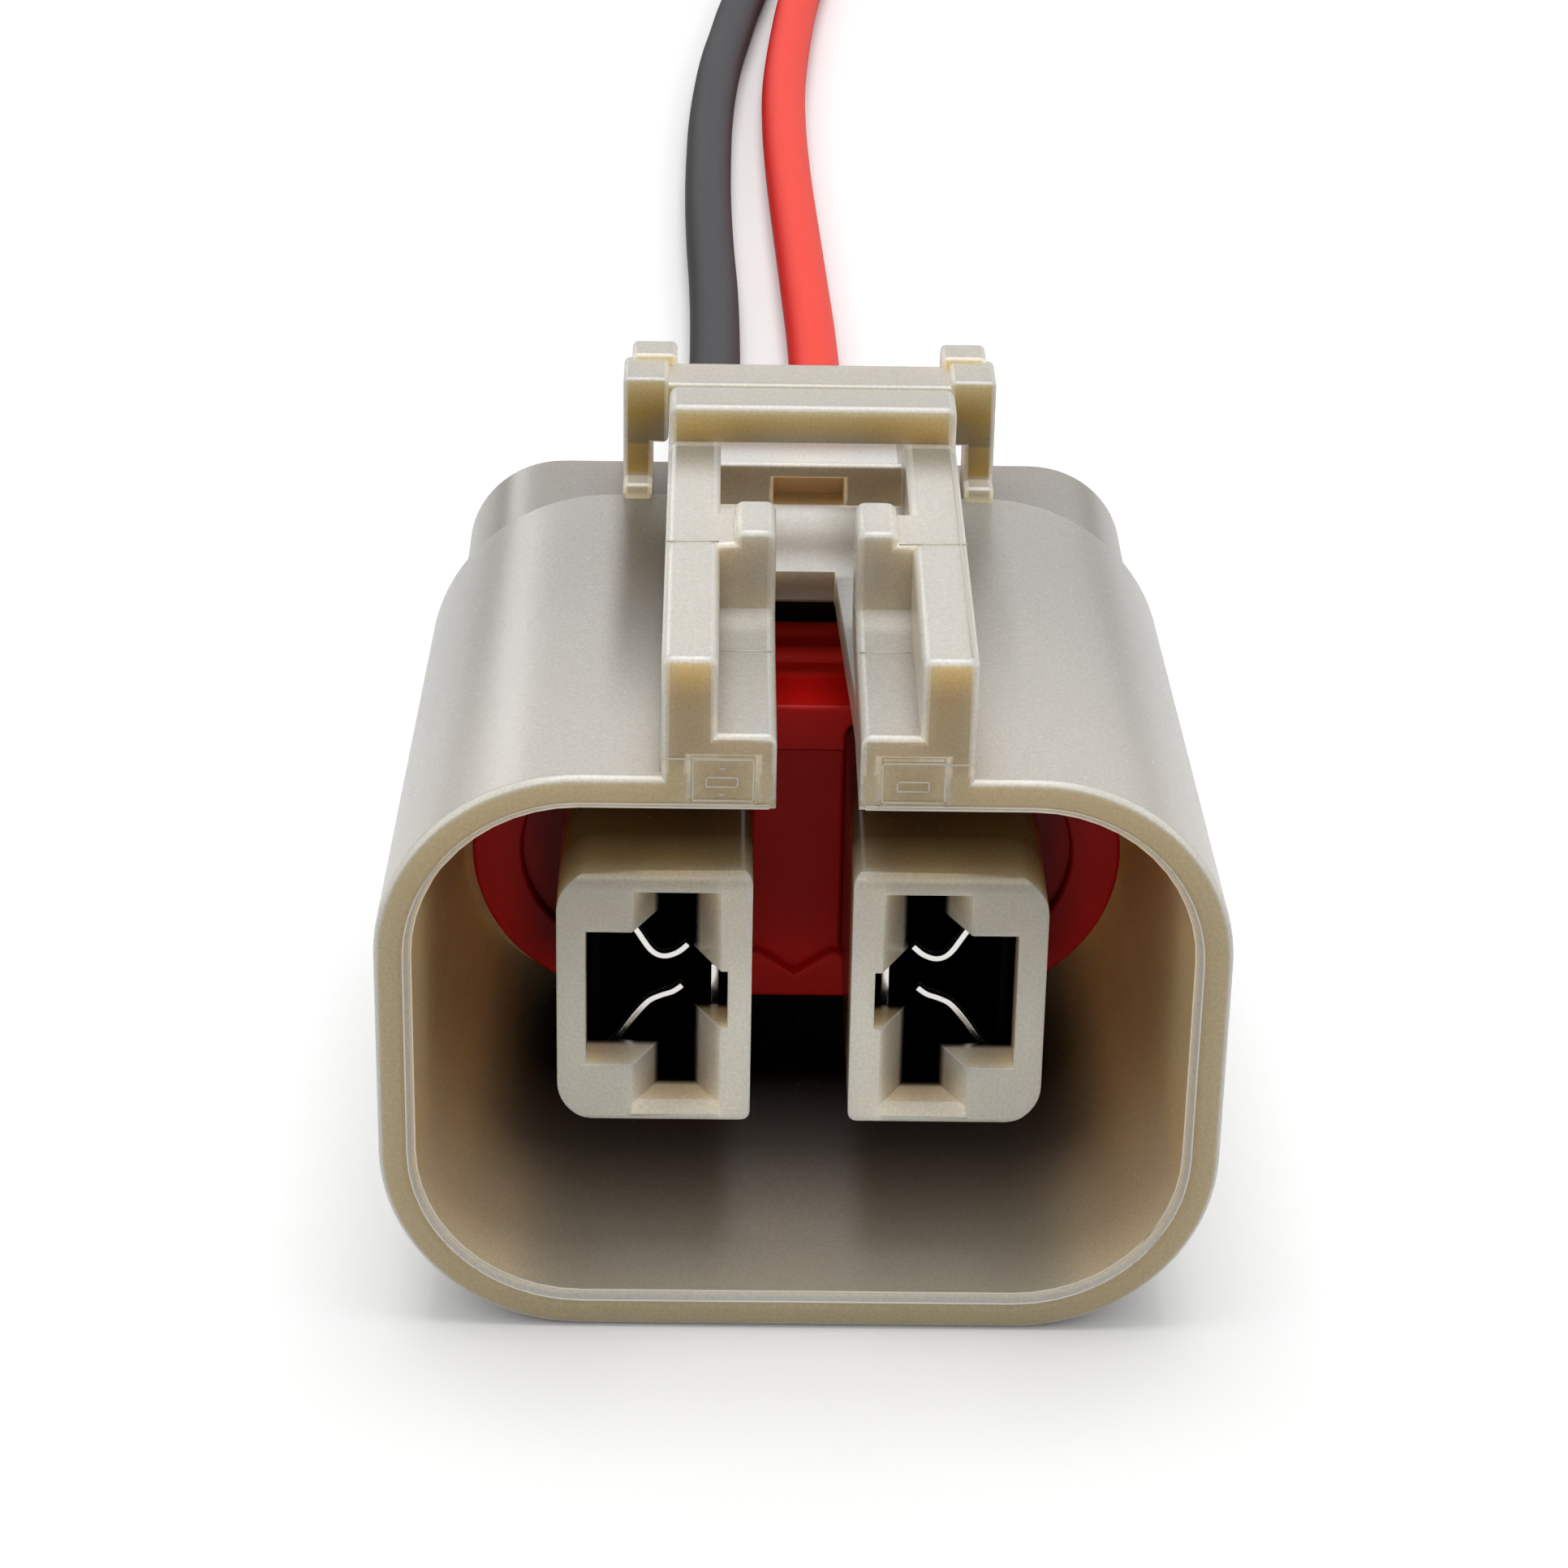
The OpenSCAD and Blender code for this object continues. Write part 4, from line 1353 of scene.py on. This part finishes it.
@dataclass
class Lead:
    """One insulated lead with its bare end: straight out of its seal, down to the table and along it."""

    name: str
    side: int
    finish: Insulation
    slot: Slot
    route_mm: tuple[Point, ...]
    wire_x: float = 5.865 * MM
    axis_z: float = 11.55 * MM
    rear_y: float = PLUG.shell_end_y * MM
    straight_y: tuple[float, ...] = (2.6 * MM, 7.8 * MM, 14.4 * MM, 19.9 * MM)
    diameter: float = 2.75 * MM
    length: float = 157 * MM
    round_steps: int = 8
    curve_steps: int = 6
    strands: int = 7
    strand_d: float = 1.9 / 3 * MM
    strand_sides: int = 12
    strand_rings: int = 13
    strand_tip: float = 0.82
    bare_length: float = 6 * MM
    lay_length: float = 16 * MM

    def points(self) -> list[Vector]:
        """The lead's line.

        Returns:
            Its points, from the crimp to the end of the insulation.
        """
        inside = [Vector((self.side * self.wire_x, y, self.axis_z)) for y in self.straight_y]
        outside = [Vector((x * MM, y * MM + self.rear_y, z * MM)) for x, y, z in self.route_mm]
        return inside + outside

    def build(self, copper: bpy.types.Material) -> None:
        """Makes the insulation and the bare strands.

        Args:
            copper: the strands' finish.
        """
        strands = self._bare_strands(copper)
        line = bpy.data.curves.new(f"{self.name}_insulation", "CURVE")
        line.dimensions = "3D"
        line.bevel_depth = self.diameter / 2
        line.bevel_resolution = self.round_steps
        line.resolution_u = self.curve_steps
        line.use_fill_caps = True
        spline = line.splines.new("BEZIER")
        points = self.points()
        spline.bezier_points.add(len(points) - 1)
        for knot, point in zip(spline.bezier_points, points):
            knot.co = point
            knot.handle_left_type = knot.handle_right_type = "AUTO"
        piece = link(bpy.data.objects.new(f"{self.name}_insulation", line))
        dress(piece, self.finish.material())
        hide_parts(f"{self.name}_wire")

    def _bare_strands(self, copper: bpy.types.Material) -> bpy.types.Object:
        """Makes the twisted strands at the insulation's end, one in the middle and the rest round it.

        Args:
            copper: their finish.

        Returns:
            The piece.
        """
        start, end = self.points()[-2:]
        ahead = (end - start).normalized()
        across = ahead.cross(Vector((0.0, 0.0, 1.0))).normalized()
        up = across.cross(ahead)
        bm = bmesh.new()
        for strand in range(self.strands):
            radius = 0.0 if strand == 0 else self.strand_d
            line = []
            for ring in range(self.strand_rings):
                along = self.bare_length * ring / (self.strand_rings - 1)
                turn = math.tau * (strand / (self.strands - 1) + along / self.lay_length)
                spoke = math.cos(turn) * across + math.sin(turn) * up
                line.append(end + ahead * along + radius * spoke)
            sweep(bm, line, self.strand_d / 2, self.strand_sides, self.strand_tip)
        piece = piece_from(bm, f"{self.name}_bare_end")
        dress(piece, copper)
        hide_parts(f"{self.name}_bare_strands")
        return piece


@dataclass
class Housing:
    """The one moulding: hood, towers, latch, bridge, guard arch and rear shell."""

    mouth_y: float = PLUG.mouth_y * MM
    roof_z: float = PLUG.roof_z * MM
    hood_end_y: float = PLUG.hood_end_y * MM
    shell_end_y: float = PLUG.shell_end_y * MM
    shell_half: float = 13.1 * MM
    shell_rise: float = 9.55 * MM
    skin_reach: float = 0.9
    tower_front_y: float = PLUG.tower_front_y * MM
    slot_top_z: float = 16.3 * MM
    arch_y: float = 7.0 * MM
    near: float = 0.02 * MM
    lip_depth: float = 0.2 * MM
    nose_depth: float = 0.9 * MM
    margin: float = 0.1 * MM
    square_turn: float = 0.9
    outward_turn: float = 0.5
    slight_turn: float = 0.2
    segments: int = 4
    fine: float = 0.07 * MM
    arch_edge: float = 0.22 * MM
    latch_edge: float = 0.36 * MM
    hood_edge: float = 0.25 * MM
    rim_edge: float = 0.4 * MM
    lip_edge: float = 0.07 * MM / 3

    def build(self, plastic: bpy.types.Material) -> None:
        """Rounds and dresses the moulding.

        Args:
            plastic: its finish.
        """
        level = self.roof_z + self.margin / 2
        piece = rounded_copy("housing", "moulded_housing", self._radius, self.segments, level)
        dress(piece, plastic)

    def _radius(self, edge: bmesh.types.BMEdge) -> float:
        """The radius of one of the moulding's edges.

        Args:
            edge: an edge of the CAD mesh.

        Returns:
            Its radius, 0 for an inner corner or an edge of a curved face.
        """
        if fold(edge) < LEAST_FOLD:
            return 0.0
        middle = (edge.verts[0].co + edge.verts[1].co) / 2
        if abs(middle.y - self.mouth_y) < self.near:
            return self._mouth_radius(edge, middle)
        if middle.y < self.mouth_y + self.lip_depth:
            return self.lip_edge
        if middle.z > self.roof_z + self.margin:
            return self.latch_edge if middle.y < self.arch_y else self.arch_edge
        if middle.y < self.tower_front_y + self.nose_depth:
            return 0.0 if middle.z > self.slot_top_z - self.margin else self.fine
        at_end = min(abs(middle.y - y) for y in (self.hood_end_y, self.shell_end_y)) < self.near
        return self.hood_edge if at_end and self._on_skin(edge, middle) else self.fine

    def _on_skin(self, edge: bmesh.types.BMEdge, middle: Vector) -> bool:
        """Tells an edge on the outside of the hood or the shell from one on a bore or a rib.

        Args:
            edge: the edge.
            middle: its middle.

        Returns:
            Whether it lies on the outside.
        """
        height = middle.z - self.roof_z / 2
        outward = Vector((middle.x, 0.0, height)).normalized()
        reach = max(abs(middle.x) / self.shell_half, abs(height) / self.shell_rise)
        looks_out = any(face.normal.dot(outward) > self.outward_turn for face in edge.link_faces)
        return reach > self.skin_reach and looks_out

    def _mouth_radius(self, edge: bmesh.types.BMEdge, middle: Vector) -> float:
        """The radius of an edge of the mouth's front face.

        Args:
            edge: the edge.
            middle: its middle.

        Returns:
            Its radius.
        """
        front, other = sorted((face.normal for face in edge.link_faces), key=lambda normal: normal.y)
        if front.y > -self.square_turn or other.y < -self.slight_turn:
            return self.fine
        outward = Vector((middle.x, 0.0, middle.z - self.roof_z / 2))
        square = other.dot(outward) > 0 and other.y < self.slight_turn
        on_rim = square and middle.z < self.roof_z + self.margin
        return self.rim_edge if on_rim else self.latch_edge


@dataclass
class MouldLines:
    """Hairlines of the moulding: panel outlines, polarity marks, parting lines and the lines round the mouth.

    Lengths are millimetres.
    """

    radius: float = 0.035
    panel_y: float = PLUG.mouth_y + 0.03
    panel_corner: float = 0.06
    panels: tuple[Box, ...] = ((-3.93, -1.86, 21.5, 23.06), (2.53, 4.67, 21.5, 22.98))
    mark_y: float = PLUG.mouth_y + 0.08
    bar_corner: float = 0.05
    bars: tuple[Box, ...] = ((-3.47, -2.4, 22.0, 22.36), (3.05, 4.13, 21.9, 22.26))
    plus_arm: float = 0.1
    plus_z: Range = (22.7, 21.7)
    foot_lines: tuple[Line, ...] = (
        ((-4.98, PLUG.mouth_y, 23.1), (panels[0][0], PLUG.mouth_y, 23.08)),
        ((panels[1][1], PLUG.mouth_y, 22.97), (5.66, PLUG.mouth_y, 22.97)),
    )
    rail_lines: tuple[Line, ...] = (
        ((-5.02, -5.2, PLUG.rail_top), (-3.12, -5.15, PLUG.rail_top)),
        ((3.28, -5.24, PLUG.rail_top), (5.72, -5.16, PLUG.rail_top)),
    )
    ledge_lines: tuple[Line, ...] = (
        ((-3.0, -8.1, PLUG.ledge_top), (-1.2, -8.1, PLUG.ledge_top)),
        ((1.9, -8.1, PLUG.ledge_top), (3.7, -8.1, PLUG.ledge_top)),
    )
    parting_lines: tuple[Line, ...] = (
        ((5.47, 3.6, PLUG.rail_top), (5.47, -14.5, PLUG.rail_top)),
        ((-5.06, -14.3, PLUG.roof_z), (-5.06, 5.1, PLUG.roof_z)),
    )
    mouth_insets: Range = (PLUG.hood_wall - 0.27, PLUG.hood_wall)
    slot_x: Range = (-1.3, 2.0)
    eased_steps: int = 3
    corner_steps: int = 12

    def build(self, hairline: bpy.types.Material) -> None:
        """Makes every hairline as one piece.

        Args:
            hairline: their finish.
        """
        bm = bmesh.new()
        for line in self._lines():
            sweep(bm, [Vector(point) * MM for point in line], self.radius * MM)
        dress(piece_from(bm, "mould_lines"), hairline)

    def _lines(self) -> list[Line]:
        """The lines that the photograph shows.

        Returns:
            Each line's points.
        """
        lines = [self._rectangle(box, self.panel_y, self.panel_corner) for box in self.panels]
        lines += [self._rectangle(box, self.mark_y, self.bar_corner) for box in self.bars]
        plus_x = (self.bars[0][0] + self.bars[0][1]) / 2
        for z in self.plus_z:
            lines.append([(plus_x + arm, self.mark_y, z) for arm in (-self.plus_arm, self.plus_arm)])
        lines += [*self.foot_lines, *self.rail_lines, *self.ledge_lines, *self.parting_lines]
        return lines + [self._mouth_line(inset) for inset in self.mouth_insets]

    @staticmethod
    def _arc(
        middle: tuple[float, float], y: float, radius: float, start: float, swing: float, steps: int
    ) -> list[Point]:
        """A round corner in a plane across Y.

        Args:
            middle: its middle, in X and Z.
            y: the plane.
            radius: its radius.
            start: the angle of its first point, in degrees.
            swing: how far it turns, in degrees.
            steps: how many lines it has.

        Returns:
            Its points.
        """
        x, z = middle
        turns = [math.radians(start + swing * step / steps) for step in range(steps + 1)]
        return [(x + radius * math.cos(turn), y, z + radius * math.sin(turn)) for turn in turns]

    def _rectangle(self, box: Box, y: float, corner: float) -> list[Point]:
        """A rectangle with eased corners in a plane across Y.

        Args:
            box: its left, right, lower and upper sides.
            y: the plane.
            corner: the corners' radius.

        Returns:
            Its points, with the first again at the end.
        """
        left, right, low, high = box
        middles = (
            (right - corner, low + corner),
            (right - corner, high - corner),
            (left + corner, high - corner),
            (left + corner, low + corner),
        )
        line = []
        for quarter, middle in enumerate(middles):
            start = QUARTER_TURN * (quarter - 1)
            line += self._arc(middle, y, corner, start, QUARTER_TURN, self.eased_steps)
        return line + line[:1]

    def _mouth_line(self, inset: float) -> list[Point]:
        """A line round the mouth's chamfer, open at the latch slot.

        Args:
            inset: how far it lies inside the hood's outer skin.

        Returns:
            Its points.
        """
        y = PLUG.mouth_y + inset - (PLUG.hood_wall - PLUG.mouth_chamfer)
        corner = PLUG.hood_radius - inset
        across = PLUG.hood_half - PLUG.hood_radius
        low, high = PLUG.hood_radius, PLUG.roof_z - PLUG.hood_radius
        top = PLUG.roof_z - inset
        line = [(self.slot_x[1], y, top)]
        for quarter, middle in enumerate(((across, high), (across, low), (-across, low), (-across, high))):
            start = QUARTER_TURN * (1 - quarter)
            line += self._arc(middle, y, corner, start, -QUARTER_TURN, self.corner_steps)
        return line + [(self.slot_x[0], y, top)]


@dataclass
class Seals:
    """The interface seal on the core and the two wire seals in their bores."""

    edge: float = 0.16 * MM

    def build(self, silicone: bpy.types.Material) -> None:
        """Rounds and dresses the seals.

        Args:
            silicone: their finish.
        """
        for node in ("interface_seal", "left_wire_seal", "right_wire_seal"):
            piece = rounded_copy(node, f"{node}_moulding", plain_rounding(self.edge))
            dress(piece, silicone)


@dataclass
class Terminals:
    """The two stamped terminals and the strands in their crimps."""

    edge: float = 0.06 * MM
    segments: int = 2

    def build(self, tin: bpy.types.Material, copper: bpy.types.Material) -> None:
        """Rounds and dresses the terminals and dresses the strands.

        Args:
            tin: the terminals' finish.
            copper: the strands' finish.
        """
        for side in ("left", "right"):
            name = f"{side}_stamped_terminal"
            piece = rounded_copy(f"{side}_terminal", name, plain_rounding(self.edge), self.segments)
            dress(piece, tin)
        for lead in ("black", "red"):
            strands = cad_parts[f"{lead}_crimped_strands"]
            dress(strands, copper)


BLACK_ROUTE: tuple[Point, ...] = (
    (-5.75, 10, 10.95), (-5.5, 16, 9.5), (-5.1, 22, 7.3), (-4.6, 28, 5), (-4.15, 34, 3.1),
    (-3.8, 40, 1.9), (-3.55, 46, 1.5), (-3.4, 52, 1.4), (-3.35, 58, 1.4), (-3.35, 65, 1.4),
    (-3.45, 72, 1.4), (-3.7, 80, 1.4), (-3.85, 88, 1.4), (-3.85, 95, 1.4), (-3.75, 102, 1.4),
    (-3.5, 108, 1.4), (-3.1, 114, 1.4), (-2.6, 119, 1.4), (-2.1, 124, 1.4), (-1.6, 128, 1.4),
    (-1, 133, 1.4), (-0.3, 138, 1.4), (0.4, 143, 1.4),
)
RED_ROUTE: tuple[Point, ...] = (
    (5.7, 10, 10.95), (5.35, 16, 9.5), (4.85, 22, 7.3), (4.25, 28, 5), (3.6, 34, 3.1),
    (3, 40, 1.9), (2.55, 46, 1.5), (2.25, 52, 1.4), (2.1, 58, 1.4), (1.95, 65, 1.4),
    (1.7, 72, 1.4), (1.4, 80, 1.4), (1.1, 88, 1.4), (0.9, 95, 1.4), (0.8, 102, 1.4),
    (0.85, 108, 1.4), (1.1, 114, 1.4), (1.4, 119, 1.4), (1.75, 124, 1.4), (2.1, 128, 1.4),
    (2.6, 133, 1.4), (3.2, 138, 1.4), (3.8, 143, 1.4),
)


@dataclass
class WiringPlug:
    """The whole plug."""

    leads: tuple[Lead, ...] = field(
        default_factory=lambda: (
            Lead(
                name="black",
                side=-1,
                finish=Insulation(
                    name="dark_insulation",
                    colour=(0.085, 0.085, 0.092),
                    streak_colour=(0.072, 0.072, 0.079),
                    side_shade_colour=(0.006, 0.006, 0.007),
                    scatter=0.0,
                ),
                slot=Slot.BLACK,
                route_mm=BLACK_ROUTE,
            ),
            Lead(
                name="red",
                side=1,
                finish=Insulation(
                    name="red_insulation",
                    colour=(1.0, 0.1, 0.075),
                    streak_colour=(1.0, 0.085, 0.062),
                    side_shade_colour=(0.85, 0.02, 0.015),
                    scatter=0.3,
                ),
                slot=Slot.RED,
                route_mm=RED_ROUTE,
            ),
        )
    )

    def build(self) -> None:
        """Builds and dresses every piece."""
        copper = CopperStrand().material()
        for lead in self.leads:
            lead.build(copper)
        plastic = MouldedPlastic().material()
        Housing().build(plastic)
        MouldLines().build(Hairline().material())
        Seals().build(Silicone().material())
        Terminals().build(TinPlate().material(), copper)


def main() -> None:
    """Builds the scene."""
    logging.basicConfig(level=logging.INFO, format="%(name)s: %(message)s")
    Viewpoint().build()
    WiringPlug().build()
    Studio().build()


if __name__ == "__main__":
    main()
